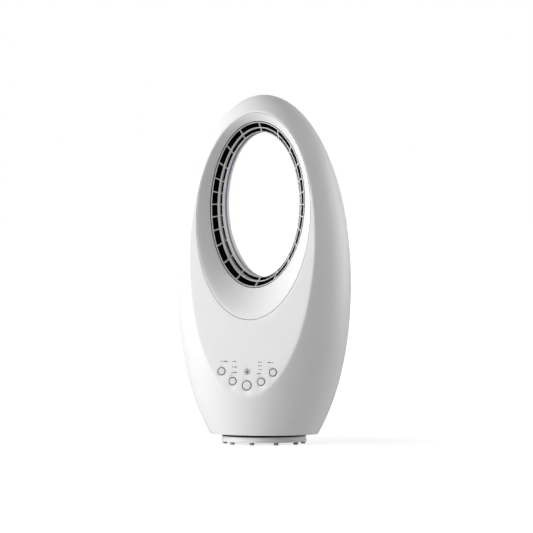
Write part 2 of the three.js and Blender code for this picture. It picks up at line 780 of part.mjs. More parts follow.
function gearShape(teeth, firstToothAngle) {
  const pitchRadius = (GEAR_MODULE * teeth) / 2;
  const baseRadius = pitchRadius * Math.cos(PRESSURE_ANGLE);
  const tip = pitchRadius + GEAR_MODULE * TOOTH_TIP;
  const root = pitchRadius - GEAR_MODULE * TOOTH_ROOT;
  const halfTooth = Math.PI / 2 / teeth - TOOTH_BACKLASH / 4 / pitchRadius;
  const halfAt = (radius) => halfTooth + involute(baseRadius, pitchRadius) - involute(baseRadius, radius);
  const outlinePoints = [];
  for (let i = 0; i < teeth; i += 1) {
    const middle = onCircle(teeth, i, firstToothAngle);
    for (const [radius, offset] of [
      [root, -halfAt(root)],
      [tip, -halfAt(tip)],
      [tip, halfAt(tip)],
      [root, halfAt(root)],
    ]) {
      const angle = middle + offset;
      outlinePoints.push(new THREE.Vector2(radius * Math.cos(angle), radius * Math.sin(angle)));
    }
  }
  return new THREE.Shape(outlinePoints);
}

function boredGear(teeth, firstToothAngle, bore, bottom, segments) {
  const shape = gearShape(teeth, firstToothAngle);
  shape.holes.push(new THREE.Path(new THREE.Path().absarc(0, 0, bore, 0, 2 * Math.PI, true).getPoints(segments)));
  return plate(shape, bottom, GEAR_THICK);
}

const GEAR_CENTRES = (GEAR_MODULE * (SUN_TEETH + PINION_TEETH)) / 2;
const PINION_X = GEAR_CENTRES * Math.cos(PINION_BEARING);
const PINION_Y = GEAR_CENTRES * Math.sin(PINION_BEARING);

// ---------------------------------------------------------------- blower

// Thin curved blade on a hub. The root follows rootAt, the tip keeps one radius.
function blade({ index, count, bottom, height, sweep, rootAt, tip }) {
  const rows = [];
  for (let i = 0; i <= BLADE_STATIONS; i += 1) {
    const t = i / BLADE_STATIONS;
    const h = bottom + height * t;
    const angle = BLADE_START + onCircle(count, index) + sweep * (t + BLADE_CURL * t * t);
    const corner = (radius, offset) => {
      const swing = angle + offset / radius;
      return new THREE.Vector3(radius * Math.cos(swing), radius * Math.sin(swing), h);
    };
    const root = rootAt(t);
    rows.push([
      corner(root, -BLADE_THICK / 2),
      corner(tip, -BLADE_THICK / 2),
      corner(tip, BLADE_THICK / 2),
      corner(root, BLADE_THICK / 2),
    ]);
  }
  return skin(rows, { swapped: [2] });
}

function impeller() {
  const hubAt = (t) => HUB_FOOT_RADIUS + (HUB_TOP_RADIUS - HUB_FOOT_RADIUS) * t ** HUB_FLARE;
  const profile = [0, 0.35, 0.7, 1].map((t) => [hubAt(t), IMPELLER_H + IMPELLER_HEIGHT * t]);
  const hub = turned([
    [SHAFT_RADIUS + GAP, IMPELLER_H],
    ...profile,
    [SHAFT_RADIUS + GAP, IMPELLER_H + IMPELLER_HEIGHT],
  ], 2 * BLADE_COUNT);
  const blades = Array.from({ length: BLADE_COUNT }, (_, index) => blade({
    index,
    count: BLADE_COUNT,
    bottom: IMPELLER_H + 1,
    height: IMPELLER_HEIGHT - 2,
    sweep: BLADE_SWEEP,
    rootAt: (t) => hubAt(t) - BLADE_ROOT,
    tip: insideFacets(SHROUD_RADIUS - SHROUD_WALL) - BLADE_RUNNING_GAP,
  }));
  return joined(hub, ...blades);
}

// Motor bucket with the vanes that straighten the air behind the impeller.
function diffuser() {
  const bucket = turned([
    [SHAFT_RADIUS + 3, BUCKET_H],
    [HUB_TOP_RADIUS, BUCKET_H],
    [HUB_TOP_RADIUS, BUCKET_H + BUCKET_HEIGHT],
    [HUB_TOP_RADIUS - BUCKET_WALL, BUCKET_H + BUCKET_HEIGHT],
    [HUB_TOP_RADIUS - BUCKET_WALL, BUCKET_H + BUCKET_WALL],
    [SHAFT_RADIUS + 3, BUCKET_H + BUCKET_WALL],
  ], ROUND);
  const vanes = Array.from({ length: VANE_COUNT }, (_, index) => blade({
    index,
    count: VANE_COUNT,
    bottom: BUCKET_H + 2,
    height: BUCKET_HEIGHT * VANE_SHARE,
    sweep: VANE_SWEEP,
    rootAt: () => HUB_TOP_RADIUS - BUCKET_WALL / 2,
    tip: insideFacets(SHROUD_RADIUS - SHROUD_WALL) - GAP,
  }));
  return joined(bucket, ...vanes);
}

// Motor with the wider stack of its stator, and a blind bore for the shaft.
function motor() {
  const stack = insideFacets(HUB_TOP_RADIUS - BUCKET_WALL) - GAP;
  return turned([
    [SHAFT_RADIUS + GAP, MOTOR_H],
    [stack, MOTOR_H],
    [stack, MOTOR_H + MOTOR_HEIGHT * 0.5],
    [MOTOR_RADIUS, MOTOR_H + MOTOR_HEIGHT * 0.5],
    [MOTOR_RADIUS, MOTOR_H + MOTOR_HEIGHT],
    [0, MOTOR_H + MOTOR_HEIGHT],
    [0, MOTOR_H + MOTOR_HEIGHT * 0.6],
    [SHAFT_RADIUS + GAP, MOTOR_H + MOTOR_HEIGHT * 0.6],
  ], ROUND);
}

// Domed lid on the motor bucket.
function motorCap() {
  const seat = BUCKET_H + BUCKET_HEIGHT + GAP;
  const dome = [0, 1, 2].map((i) => {
    const angle = (i * Math.PI) / 6;
    return [HUB_TOP_RADIUS * Math.cos(angle), seat + CAP_HEIGHT * Math.sin(angle)];
  });
  return turned([
    [0, seat],
    ...dome,
    [0, seat + CAP_HEIGHT],
  ], ROUND, { loop: false });
}

function blowerShroud() {
  const inner = SHROUD_RADIUS - SHROUD_WALL;
  const lip = SHROUD_RADIUS + SHROUD_WALL;
  const can = turned([
    [inner, SHROUD_H],
    [lip, SHROUD_H],
    [lip, SHROUD_H + SHROUD_WALL],
    [SHROUD_RADIUS, SHROUD_H + SHROUD_WALL],
    [SHROUD_RADIUS, SHROUD_TOP_H],
    [0, SHROUD_TOP_H],
    [0, SHROUD_TOP_H - SHROUD_WALL],
    [inner, SHROUD_TOP_H - SHROUD_WALL],
  ], ROUND);
  return cut(can, riserBar(-DUCT_WALL, SHROUD_TOP_H - 2 * SHROUD_WALL, SHROUD_TOP_H + 1));
}

const postAngle = (index) => onCircle(3, index, Math.PI / 6);

function atPost(geometry, index, radius = POST_CIRCLE) {
  const angle = postAngle(index);
  return geometry.translate(radius * Math.cos(angle), radius * Math.sin(angle), 0);
}

function inletBell() {
  const rim = POST_CIRCLE + BUSH_RADIUS;
  const ring = turned([
    [BELL_MOUTH + BELL_WALL, BELL_H],
    [rim, BELL_H],
    [rim, BELL_H + BELL_FLANGE],
    [BELL_MOUTH + BELL_WALL, BELL_H + BELL_FLANGE],
    [BELL_MOUTH, BELL_H + BELL_FLANGE + BELL_LIP],
    [BELL_MOUTH - BELL_WALL, BELL_H + BELL_FLANGE + BELL_LIP],
    [BELL_MOUTH - BELL_WALL / 4, BELL_H + BELL_FLANGE / 2],
  ], ROUND);
  const holes = [0, 1, 2].map((i) => atPost(post(POST_PIN + GAP, BELL_H - 1, BELL_H + BELL_FLANGE + 1), i));
  return cut(ring, ...holes);
}

// ---------------------------------------------------------------- floor and base

// Floor of the housing: an oval plate inside both shells, with the blower's three posts.
function turntable() {
  const inside = bodyForm(SHELL_WALL + GAP, -SHELL_WALL);
  const slab = common(inside, block(
    -HALF_WIDTH,
    HALF_WIDTH,
    -HALF_WIDTH,
    HALF_WIDTH,
    FLOOR_BOTTOM_H,
    FLOOR_TOP_H,
  ));
  const shoulder = BELL_H - 2 * GAP - BUSH_HEIGHT;
  const posts = [0, 1, 2].flatMap((i) => [
    atPost(post(POST_RADIUS, FLOOR_BOTTOM_H + 1, shoulder), i),
    atPost(post(POST_PIN, shoulder - 1, BELL_H + BELL_FLANGE), i),
  ]);
  const bore = post(PIVOT_RADIUS + GAP, FLOOR_BOTTOM_H - 1, FLOOR_TOP_H + 1, ROUND);
  return cut(joined(slab, ...posts), bore);
}

function mountBush(index) {
  const bottom = BELL_H - GAP - BUSH_HEIGHT;
  return atPost(washer(POST_PIN + GAP, BUSH_RADIUS, bottom, bottom + BUSH_HEIGHT, SMALL_ROUND), index);
}

function baseCover() {
  const top = BASE_TOP_Z;
  const shoulder = BASE_RADIUS - BASE_TAPER;
  const cover = turned([
    [BASE_RADIUS - BASE_WALL, FOOT_HEIGHT],
    [BASE_RADIUS, FOOT_HEIGHT],
    [BASE_RADIUS, FOOT_HEIGHT + BASE_FLANGE],
    [shoulder + BASE_STEP, FOOT_HEIGHT + BASE_FLANGE + 2 * BASE_STEP],
    [shoulder, top - BASE_EDGE],
    [shoulder - BASE_EDGE, top],
    [PIVOT_RADIUS + GAP, top],
    [PIVOT_RADIUS + GAP, top - BASE_WALL],
    [shoulder - BASE_WALL, top - BASE_WALL],
    [BASE_RADIUS - BASE_WALL, top - 2 * BASE_WALL],
  ], BASE_ROUND);
  const bosses = baseScrewSpots((spot) => (
    post(SCREW_RADIUS + GAP + BOSS_WALL, FOOT_HEIGHT + PLATE_THICK + GAP, top - BASE_WALL / 2).translate(...spot)
  ));
  const holes = baseScrewSpots((spot) => (
    post(SCREW_RADIUS + GAP, FOOT_HEIGHT, top - BASE_WALL).translate(...spot)
  ));
  return cut(joined(cover, ...bosses), ...holes);
}

function baseScrewSpots(make) {
  return Array.from({ length: BASE_SCREW_COUNT }, (_, i) => {
    const angle = onCircle(BASE_SCREW_COUNT, i, Math.PI / 2);
    return make([BASE_SCREW_CIRCLE * Math.cos(angle), BASE_SCREW_CIRCLE * Math.sin(angle), 0]);
  });
}

function basePlate() {
  const disc = post(BASE_RADIUS - BASE_WALL - GAP, FOOT_HEIGHT, FOOT_HEIGHT + PLATE_THICK, BASE_ROUND);
  const holes = baseScrewSpots((spot) => (
    post(SCREW_RADIUS + GAP, FOOT_HEIGHT - 1, FOOT_HEIGHT + PLATE_THICK + 1).translate(...spot)
  ));
  return cut(disc, ...holes);
}

function ballastRing() {
  const bottom = FOOT_HEIGHT + PLATE_THICK + GAP;
  return washer(BALLAST_INNER, BASE_RADIUS - 2 * BASE_WALL - BASE_TAPER, bottom, bottom + BALLAST_HEIGHT);
}

// Hollow pivot that hangs its flange under the base's top and rises through the floor.
function pivotTube() {
  const flangeTop = BASE_TOP_Z - BASE_WALL - GAP;
  return turned([
    [PIVOT_BORE, flangeTop - PIVOT_FLANGE_THICK],
    [PIVOT_FLANGE, flangeTop - PIVOT_FLANGE_THICK],
    [PIVOT_FLANGE, flangeTop],
    [PIVOT_RADIUS, flangeTop],
    [PIVOT_RADIUS, PIVOT_TOP_Z],
    [PIVOT_BORE, PIVOT_TOP_Z],
  ], ROUND);
}

function foot() {
  return turned([
    [0, 0],
    [FOOT_RADIUS - FOOT_CHAMFER, 0],
    [FOOT_RADIUS, FOOT_CHAMFER],
    [FOOT_RADIUS, FOOT_HEIGHT - GAP],
    [0, FOOT_HEIGHT - GAP],
  ], SMALL_ROUND, { loop: false });
}

// ---------------------------------------------------------------- controls

// Button cap with a shallow dish, a flange behind the front and a stem towards its switch.
function button({ radius }) {
  const stemTop = FLANGE_TOP_Z - BUTTON_FLANGE;
  return turned([
    [0, BUTTON_PROUD - BUTTON_DISH],
    [radius - BUTTON_EDGE, BUTTON_PROUD],
    [radius, BUTTON_PROUD - BUTTON_EDGE],
    [radius, FLANGE_TOP_Z],
    [radius + BUTTON_FLANGE, FLANGE_TOP_Z],
    [radius + BUTTON_FLANGE, stemTop],
    [BUTTON_STEM, stemTop],
    [BUTTON_STEM, stemTop - BUTTON_STEM_LENGTH],
    [0, stemTop - BUTTON_STEM_LENGTH],
  ], BUTTON_ROUND, { loop: false });
}

// Control board with a switch under each button.
function controlBoard() {
  const { halfWidth, bottom, top } = BOARD;
  const sheet = block(-halfWidth, halfWidth, bottom, top, BOARD_Z - BOARD_THICK, BOARD_Z);
  const half = SWITCH_SIZE / 2;
  const switches = BUTTONS.map(({ across, up }) => (
    block(across - half, across + half, up - half, up + half, BOARD_Z - 0.5, BOARD_Z + SWITCH_HEIGHT)
  ));
  return joined(sheet, ...switches);
}

function receiverWindow() {
  return turned([
    [0, 0.1],
    [RECEIVER.radius, 0],
    [RECEIVER.radius, BOARD_Z + GAP],
    [0, BOARD_Z + GAP],
  ], BUTTON_ROUND, { loop: false });
}

function powerBoard() {
  const { halfWidth, height, y } = POWER_BOARD;
  const bottom = FLOOR_TOP_H + GAP;
  const sheet = block(-halfWidth, halfWidth, y, y + BOARD_THICK, bottom, bottom + height);
  const parts = [TRANSFORMER, RELAY].map((part) => block(
    part.x - part.width / 2,
    part.x + part.width / 2,
    y - part.depth,
    y + BOARD_THICK / 2,
    bottom + part.bottom,
    bottom + part.bottom + part.height,
  ));
  return joined(sheet, ...parts);
}

// Places a piece on the lower back, its z axis square to the sloping wall.
function onLowerBack(geometry) {
  const slope = (halfDepthAt(GLAND.h + 1) - halfDepthAt(GLAND.h - 1)) / 2;
  return geometry
    .rotateX(-Math.PI / 2 - Math.atan(slope))
    .translate(0, halfDepthAt(GLAND.h), GLAND.h);
}

// Bushing in the lower back, where a mains lead would enter.
function cordGland() {
  return onLowerBack(turned([
    [GLAND.bore, -GLAND.reach],
    [GLAND.radius, -GLAND.reach],
    [GLAND.radius, GAP],
    [GLAND.flange, GAP],
    [GLAND.flange, GAP + GLAND.rim],
    [GLAND.radius, GLAND.nose],
    [GLAND.bore, GLAND.nose],
  ], BUTTON_ROUND));
}

// Arm over the gears that carries the swing motor on two legs.
function swingBracket() {
  const reach = SWING_MOTOR_RADIUS + 3;
  const [half, legHalf] = [BRACKET_WIDTH / 2, BRACKET_LEG_WIDTH / 2];
  const arm = block(
    -reach,
    reach,
    PINION_Y - half,
    PINION_Y + half,
    BRACKET_H,
    BRACKET_H + BRACKET_THICK,
  );
  const legs = [-reach, reach - BRACKET_LEG].map((x) => block(
    x,
    x + BRACKET_LEG,
    PINION_Y - legHalf,
    PINION_Y + legHalf,
    FLOOR_TOP_H + GAP,
    BRACKET_H + BRACKET_THICK / 2,
  ));
  const hole = post(SWING_SHAFT_RADIUS + 1, BRACKET_H - 1, BRACKET_H + BRACKET_THICK + 1)
    .translate(PINION_X, PINION_Y, 0);
  return cut(joined(arm, ...legs), hole);
}

function swingMotor() {
  const top = SWING_MOTOR_H + SWING_MOTOR_HEIGHT;
  return turned([
    [0, SWING_MOTOR_H],
    [SWING_MOTOR_RADIUS - SWING_MOTOR_EDGE, SWING_MOTOR_H],
    [SWING_MOTOR_RADIUS, SWING_MOTOR_H + SWING_MOTOR_EDGE],
    [SWING_MOTOR_RADIUS, top - SWING_MOTOR_EDGE],
    [SWING_MOTOR_RADIUS - SWING_MOTOR_EDGE, top],
    [0, top],
  ], ROUND, { loop: false }).translate(PINION_X, PINION_Y, 0);
}

// Pinion with its shaft, which turns in the swing motor.
function swingPinion() {
  const gap = PINION_BEARING + Math.PI + Math.PI / PINION_TEETH;
  const wheel = plate(gearShape(PINION_TEETH, gap), GEAR_H, GEAR_THICK);
  const shaft = post(SWING_SHAFT_RADIUS, GEAR_H + 1, SWING_MOTOR_H - GAP);
  return joined(wheel, shaft).translate(PINION_X, PINION_Y, 0);
}

// ---------------------------------------------------------------- assembly

const finish = (color, roughness, metalness = 0) => ({ color, roughness, metalness });
const WHITE = finish(0xf1f2f4, 0.28);
const WHITE_TRIM = finish(0xe6e8ec, 0.4);
const GRILLE_WHITE = finish(0xdcdcde, 0.45);
const LAVENDER = finish(0x77748b, 0.4);
const BLACK = finish(0x17181a, 0.7);
const RUBBER = finish(0x3a3b3d, 0.85);
const STEEL = finish(0xa8abb0, 0.35, 1);
const BOARD_GREEN = finish(0x1f5a3a, 0.6);
const MAT = finish(0x6b6e72, 0.95);
const NATURAL = finish(0xd9d6c8, 0.5);

function add(parent, name, geometry, material) {
  const mesh = new THREE.Mesh(cleanMesh(geometry), new THREE.MeshStandardMaterial(material));
  mesh.name = name;
  parent.add(mesh);
  return mesh;
}

const base = new THREE.Group();
add(base, 'base_cover', baseCover(), WHITE);
add(base, 'base_plate', basePlate(), WHITE_TRIM);
add(base, 'ballast_ring', ballastRing(), STEEL);
add(base, 'pivot_tube', pivotTube(), NATURAL);
add(base, 'slide_ring', washer(
  SLIDE_RING_RADIUS - SLIDE_RING_WIDTH,
  SLIDE_RING_RADIUS,
  BASE_TOP_Z + GAP,
  BASE_TOP_Z + GAP + SLIDE_RING_THICK,
), NATURAL);
add(base, 'retaining_ring', washer(
  PIVOT_RADIUS + GAP,
  PIVOT_RADIUS + RETAINER_WIDTH,
  HOUSING_Z + RETAINER_H,
  HOUSING_Z + RETAINER_H + RETAINER_THICK,
), STEEL);
add(base, 'sun_gear', boredGear(
  SUN_TEETH,
  PINION_BEARING,
  PIVOT_RADIUS + GAP,
  HOUSING_Z + GEAR_H,
  BASE_ROUND,
), NATURAL);
for (let i = 0; i < FOOT_COUNT; i += 1) {
  const angle = onCircle(FOOT_COUNT, i, Math.PI / 2);
  const rim = BASE_RADIUS - FOOT_INSET;
  const pad = add(base, `foot_${i + 1}`, foot(), RUBBER);
  pad.position.set(rim * Math.cos(angle), rim * Math.sin(angle), 0);
}
baseScrewSpots((spot) => spot).forEach((spot, i) => {
  const fastener = add(base, `base_screw_${i + 1}`, screw(0, BASE_HEIGHT - 2 * BASE_WALL), STEEL);
  fastener.rotation.x = Math.PI;
  fastener.position.set(spot[0], spot[1], FOOT_HEIGHT - GAP - SCREW_HEAD_THICK);
});

const housing = new THREE.Group();
housing.position.z = HOUSING_Z;
add(housing, 'front_shell', frontShell(), WHITE);
add(housing, 'rear_shell', rearShell(), WHITE);
add(housing, 'funnel_ring', funnelRing(), WHITE);
add(housing, 'outlet_grille', outletGrille(), GRILLE_WHITE);
add(housing, 'accent_ring', accentRing(), LAVENDER);
add(housing, 'throat_ring', throatRing(), WHITE_TRIM);
add(housing, 'duct_ring', ductRing(), BLACK);
add(housing, 'riser_duct', riserDuct(), BLACK);
add(housing, 'riser_seal', riserSeal(), MAT);
add(housing, 'blower_shroud', blowerShroud(), BLACK);
add(housing, 'inlet_bell', inletBell(), BLACK);
add(housing, 'diffuser', diffuser(), BLACK);
add(housing, 'motor', motor(), STEEL);
add(housing, 'motor_cap', motorCap(), BLACK);
add(housing, 'turntable', turntable(), WHITE_TRIM);
add(housing, 'swing_bracket', swingBracket(), WHITE_TRIM);
add(housing, 'swing_motor', swingMotor(), STEEL);
add(housing, 'power_board', powerBoard(), BOARD_GREEN);
add(housing, 'intake_grille', intakeGrille(), WHITE);
add(housing, 'dust_filter', dustFilter(), MAT);
[0, 1, 2].forEach((i) => add(housing, `mount_bush_${i + 1}`, mountBush(i), RUBBER));
add(housing, 'cord_gland', cordGland(), RUBBER);
SHELL_SCREWS.forEach(({ x, h }, i) => {
  const fastener = add(housing, `shell_screw_${i + 1}`, screw(0, 2 * SCREW_GRIP - 2), STEEL);
  fastener.rotation.x = -Math.PI / 2;
  fastener.position.set(x, SCREW_GRIP + GAP + SCREW_HEAD_THICK, h);
});

// Turning and pressing pieces
add(housing, 'impeller', impeller(), BLACK);
add(housing, 'motor_shaft', post(
  SHAFT_RADIUS,
  IMPELLER_H - 2,
  MOTOR_H + MOTOR_HEIGHT * 0.6 - GAP,
), STEEL);
add(housing, 'swing_pinion', swingPinion(), NATURAL);

const controls = new THREE.Group();
controls.rotation.x = Math.PI / 2 - PANEL_LEAN;
controls.position.set(0, -panelReachAt(MIDDLE_BUTTON_H), MIDDLE_BUTTON_H);
BUTTONS.forEach((spec, i) => {
  const cap = add(controls, `button_${i + 1}`, button(spec), WHITE_TRIM);
  cap.position.set(spec.across, spec.up, 0);
});
add(controls, 'control_board', controlBoard(), BOARD_GREEN);
const receiver = add(controls, 'receiver_window', receiverWindow(), BLACK);
receiver.position.set(RECEIVER.across, RECEIVER.up, 0);
housing.add(controls);

// The origin lies on the floor under the middle of the object's own box, to a tenth.
const fan = new THREE.Group();
fan.add(base, housing);
fan.updateMatrixWorld(true);
const middle = new THREE.Box3().setFromObject(fan).getCenter(new THREE.Vector3());
fan.position.y = -Math.round(middle.y * 10) / 10;

export default fan;
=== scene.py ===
"""Bladeless fan: the finished surfaces of an egg-shaped fan that swings on a round base.

Lengths below are millimetres. Heights h and depths y are measured from the lower edge of the
housing and from the swing axis, as a maker would; to_row() turns them into the shared frame.
"""
import json
import math

import bmesh
import bpy
import numpy as np
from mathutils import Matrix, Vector


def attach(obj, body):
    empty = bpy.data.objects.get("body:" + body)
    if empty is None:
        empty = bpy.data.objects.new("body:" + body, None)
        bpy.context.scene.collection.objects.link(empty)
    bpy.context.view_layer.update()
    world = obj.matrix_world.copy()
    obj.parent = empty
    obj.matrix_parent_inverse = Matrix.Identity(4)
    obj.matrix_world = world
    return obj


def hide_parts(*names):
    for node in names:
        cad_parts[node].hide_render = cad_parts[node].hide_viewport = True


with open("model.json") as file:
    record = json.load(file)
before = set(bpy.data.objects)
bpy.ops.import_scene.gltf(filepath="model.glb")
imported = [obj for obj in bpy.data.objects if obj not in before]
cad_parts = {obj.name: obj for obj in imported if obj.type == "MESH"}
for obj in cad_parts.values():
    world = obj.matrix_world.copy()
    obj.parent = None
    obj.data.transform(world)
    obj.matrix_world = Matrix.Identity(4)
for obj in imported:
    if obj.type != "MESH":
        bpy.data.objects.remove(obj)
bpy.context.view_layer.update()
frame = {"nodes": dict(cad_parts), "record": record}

# ------------------------------------------------------------------ sizes

AXIS_Y = -5.2
HOUSING_Z = 17.8
GAP = 0.3
SHELL_WALL, SHELL_ROLL = 2.6, 0.45   # wall of a shell, and the radius of its rounded edges
LINER_WALL, FUNNEL_ROLL, INTAKE_ROLL = 2.4, 0.6, 0.35
FILLET = 1.5                   # rounding of the crease between the flat front and the egg

CROWN_H, HALF_WIDTH, WIDEST_H = 602.2, 158.7, 272.9
LOWER_WIDTH_SPAN, LOWER_WIDTH_POWER = 341.3, 2.1
HALF_DEPTH, DEEPEST_H = 111.5, 192.2
UPPER_DEPTH_POWER, LOWER_DEPTH_SPAN = 1.85, 292
PANEL_REACH, PANEL_LEAN = 59.8, math.radians(6.9)
PANEL_SLOPE = math.tan(PANEL_LEAN)

HOLE_H = 407.5
SEAM = (106.3, 183, 20.5)
GROOVE = (88, 147.4, 0)
HOOP = (78.2, 137.2, 0)
THROAT = (71.4, 128.5, 0)
REAR_RIM = (92, 152, 0)
GROOVE_REACH = (33, 38, 57)
THROAT_REACH = (14.2, 18.2, 22.2)
FUNNEL_POWER = 1.35            # above 1, the funnel leaves the flat front gently and then steepens
SEAM_GAP = 0.7                 # so much of the joint shows round the funnel

RIB_COUNT, RIB_THICK, RIB_DEPTH, RIB_SET_BACK = 24, 1.8, 5, 0.7
GROOVE_GAP, RIM_END, RIB_BITE = 1.2, 0.11, 0.05
HOOP_THICK, HOOP_BACK = 2, -14
THROAT_LIP, LIP_EDGE, ACCENT_WIDTH, FLARE_Y = -5.3, 0.9, 10.2, 18.5

MIDDLE_BUTTON_H = 89.2
BUTTONS = [(-47.7, 24.6, 7.2), (-26.4, 7.2, 7.2), (0, 0, 8.8), (26.4, 6.9, 7.2), (47.7, 23.4, 7.2)]
BUTTON_PROUD, BUTTON_CAP_DEEP, BUTTON_BAND = 0.5, 1.4, 1.45
BUTTON_SKIRT, BUTTON_SKIRT_TOP, BUTTON_SKIRT_END = 1.2, 4.1, 5.3
HOLE_LIP, HOLE_DEEP = 0.35, 6
RECEIVER = (0, 24.3, 3.2)
LENS_RADIUS, LENS_DEEP, LENS_SET_BACK, BEZEL_RADIUS = 2.25, 4, 0.15, 2.3
PRINT, DOT = 0.06, 0.95        # half the thickness of the print on the flat front, radius of a dot
RECEIVER_DOTS, DOT_CIRCLE, RECEIVER_DOT = 8, 4.7, 1.1

BASE_RADIUS, BASE_TOP_Z, FOOT_HEIGHT = 76.5, 16.8, 4.4
BASE_LIP, BASE_WALL, BASE_BORE = 1.9, 2.4, 14.3
BASE_EDGE_DROP = 1.6           # the edge lies so far below the top, so that the gap reads dark
BASE_PAINTED_SHADE_Z = 13.8             # the base's finish is painted dark above this height: a painted shadow under the housing
FOOT_COUNT, FOOT_RADIUS, FOOT_CIRCLE = 10, 4.2, 69.5

INTAKE = (78, 52, 112)
INTAKE_SLOTS, INTAKE_BAR, INTAKE_SPINE = 6, 4.2, 4
GLAND_H, GLAND_RADIUS, GLAND_FLANGE, GLAND_BORE, GLAND_NOSE = 26, 6.5, 9, 3.7, 3
GLAND_DEEP, GLAND_FLANGE_THICK, GLAND_HOLE_ROOM, GLAND_HOLE_DEEP = 8, 1.2, 0.6, 12
SHELL_SCREW_HEIGHTS, SHELL_SCREW_INSET = (150, 320), 28
SCREW_GRIP, SCREW_HEAD = 10, 3.4
CUTTER_EDGE = 0.001            # cutters keep their corners all but sharp


# ------------------------------------------------------------------ form of the housing

def outline(full, offset, span, power):
    """Full size at the waist, closing over a span: full * sqrt(1 - (|offset| / span) ** power)."""
    return full * np.sqrt(np.clip(1 - (np.abs(offset) / span) ** power, 0, None))


def half_width(h):
    """Half the housing's width at height h."""
    above = outline(HALF_WIDTH, h - WIDEST_H, CROWN_H - WIDEST_H, 2)
    below = outline(HALF_WIDTH, h - WIDEST_H, LOWER_WIDTH_SPAN, LOWER_WIDTH_POWER)
    return np.where(h > WIDEST_H, above, below)


def half_depth(h):
    """How far the egg reaches forward and back of the swing axis at height h."""
    above = outline(HALF_DEPTH, h - DEEPEST_H, CROWN_H - DEEPEST_H, UPPER_DEPTH_POWER)
    below = outline(HALF_DEPTH, h - DEEPEST_H, LOWER_DEPTH_SPAN, 2)
    return np.where(h > DEEPEST_H, above, below)


SHELL_SCREWS = [(side * (float(half_width(np.array(h))) - SHELL_SCREW_INSET), h)
                for h in SHELL_SCREW_HEIGHTS for side in (-1, 1)]


def egg_reach(x, h):
    """Depth of the egg at x and h: an ellipse across each level."""
    return outline(half_depth(h), x, np.maximum(half_width(h), 1e-6), 2)


def panel_reach(h):
    """How far forward the flat, leaning front lies at height h."""
    return PANEL_REACH + PANEL_SLOPE * (HOLE_H - h)


def oval_radius(oval, turn, grow=0):
    """Distance from the opening's centre to an oval, along the ray at each angle of turn."""
    wide, high, drop = oval[0] + grow, oval[1] + grow, oval[2]
    c, s = np.cos(turn), np.sin(turn)
    a = (c / wide) ** 2 + (s / high) ** 2
    b = 2 * drop * s / high ** 2
    return (-b + np.sqrt(b * b - 4 * a * ((drop / high) ** 2 - 1))) / (2 * a)


def reach_at(reach, h, half_height):
    """Parabola through the reaches at the top, the sides and the bottom of an oval."""
    top, side, bottom = reach
    down = (HOLE_H - h) / half_height
    return side + (bottom - top) / 2 * down + ((bottom + top) / 2 - side) * down ** 2


def bisect(inside, low, high, rounds=50):
    """Where a test that holds at low and fails at high changes, for whole arrays at once."""
    low, high = np.array(low, float), np.array(high, float)
    for _ in range(rounds):
        middle = (low + high) / 2
        holds = inside(middle)
        low, high = np.where(holds, middle, low), np.where(holds, high, middle)
    return (low + high) / 2


def height_on(turn, radius):
    return HOLE_H + radius * np.sin(turn)


def ring_point(turn, radius, y):
    """Point at a radius on the ray at an angle round the opening, at depth y."""
    x = radius * np.cos(turn)
    return np.stack(np.broadcast_arrays(x, y, height_on(turn, radius)), axis=-1)


# Rays round the opening. They close up towards the two corners where the outline meets the
# flat lower edge, so that the edge's plan stays round there.
CORNER_X = float(half_width(np.array(0.0)))
CORNER = math.atan2(-HOLE_H, CORNER_X)
SIDE_RAYS = np.linspace(CORNER, math.pi - CORNER, 265)[:-1]
LOWER_RAYS = np.arctan2(-HOLE_H, -CORNER_X * np.cos(np.linspace(0, math.pi, 97)[:-1])) + 2 * math.pi
BODY_TURN = np.concatenate([SIDE_RAYS, LOWER_RAYS])
RING_TURN = np.linspace(0, 2 * math.pi, 385)[:-1]


def egg_edge(turn):
    """Distance from the opening's centre to the egg's full outline, along each ray."""
    def inside(reach):
        return np.abs(reach * np.cos(turn)) < half_width(height_on(turn, reach))
    return bisect(inside, np.full(turn.shape, 100.0), np.full(turn.shape, 520.0))


# ------------------------------------------------------------------ meshes

def to_row(points):
    """Housing millimetres to metres in the shared frame."""
    return (np.asarray(points, float) + (0, AXIS_Y, HOUSING_Z)) / 1000


def base_row(points):
    """The same for the base, whose heights start at the floor."""
    return (np.asarray(points, float) + (0, AXIS_Y, 0)) / 1000


def grid_faces(rows, columns, loop):
    """Quads over rows of points that each close on themselves; loop closes the rows as well."""
    spans = rows if loop else rows - 1
    r = np.arange(spans)[:, None] * columns
    n = ((np.arange(spans) + 1) % rows)[:, None] * columns
    i = np.arange(columns)[None, :]
    j = (i + 1) % columns
    return np.stack([r + i, r + j, n + j, n + i], axis=-1).reshape(-1, 4)


def build(name, grids, loop=True, caps=False, sharp=35):
    """Mesh object over one or more grids of rows x columns x 3, in metres, its doubles merged
    and every face turned outwards."""
    points, faces, start = [], [], 0
    for grid in grids:
        rows, columns = grid.shape[:2]
        points.append(grid.reshape(-1, 3))
        faces += (grid_faces(rows, columns, loop) + start).tolist()
        if caps:
            faces.append(list(range(start, start + columns)))
            faces.append(list(range(start + (rows - 1) * columns, start + rows * columns)))
        start += rows * columns
    mesh = bpy.data.meshes.new(name)
    mesh.from_pydata(np.concatenate(points).tolist(), [], faces)
    tidy = bmesh.new()
    tidy.from_mesh(mesh)
    bmesh.ops.remove_doubles(tidy, verts=tidy.verts, dist=2e-6)
    bmesh.ops.recalc_face_normals(tidy, faces=tidy.faces)
    tidy.to_mesh(mesh)
    tidy.free()
    mesh.polygons.foreach_set("use_smooth", np.ones(len(mesh.polygons), bool))
    mesh.set_sharp_from_angle(angle=math.radians(sharp))
    made = bpy.data.objects.new(name, mesh)
    bpy.context.scene.collection.objects.link(made)
    return made


def unit(vectors):
    return vectors / np.maximum(np.linalg.norm(vectors, axis=-1, keepdims=True), 1e-12)


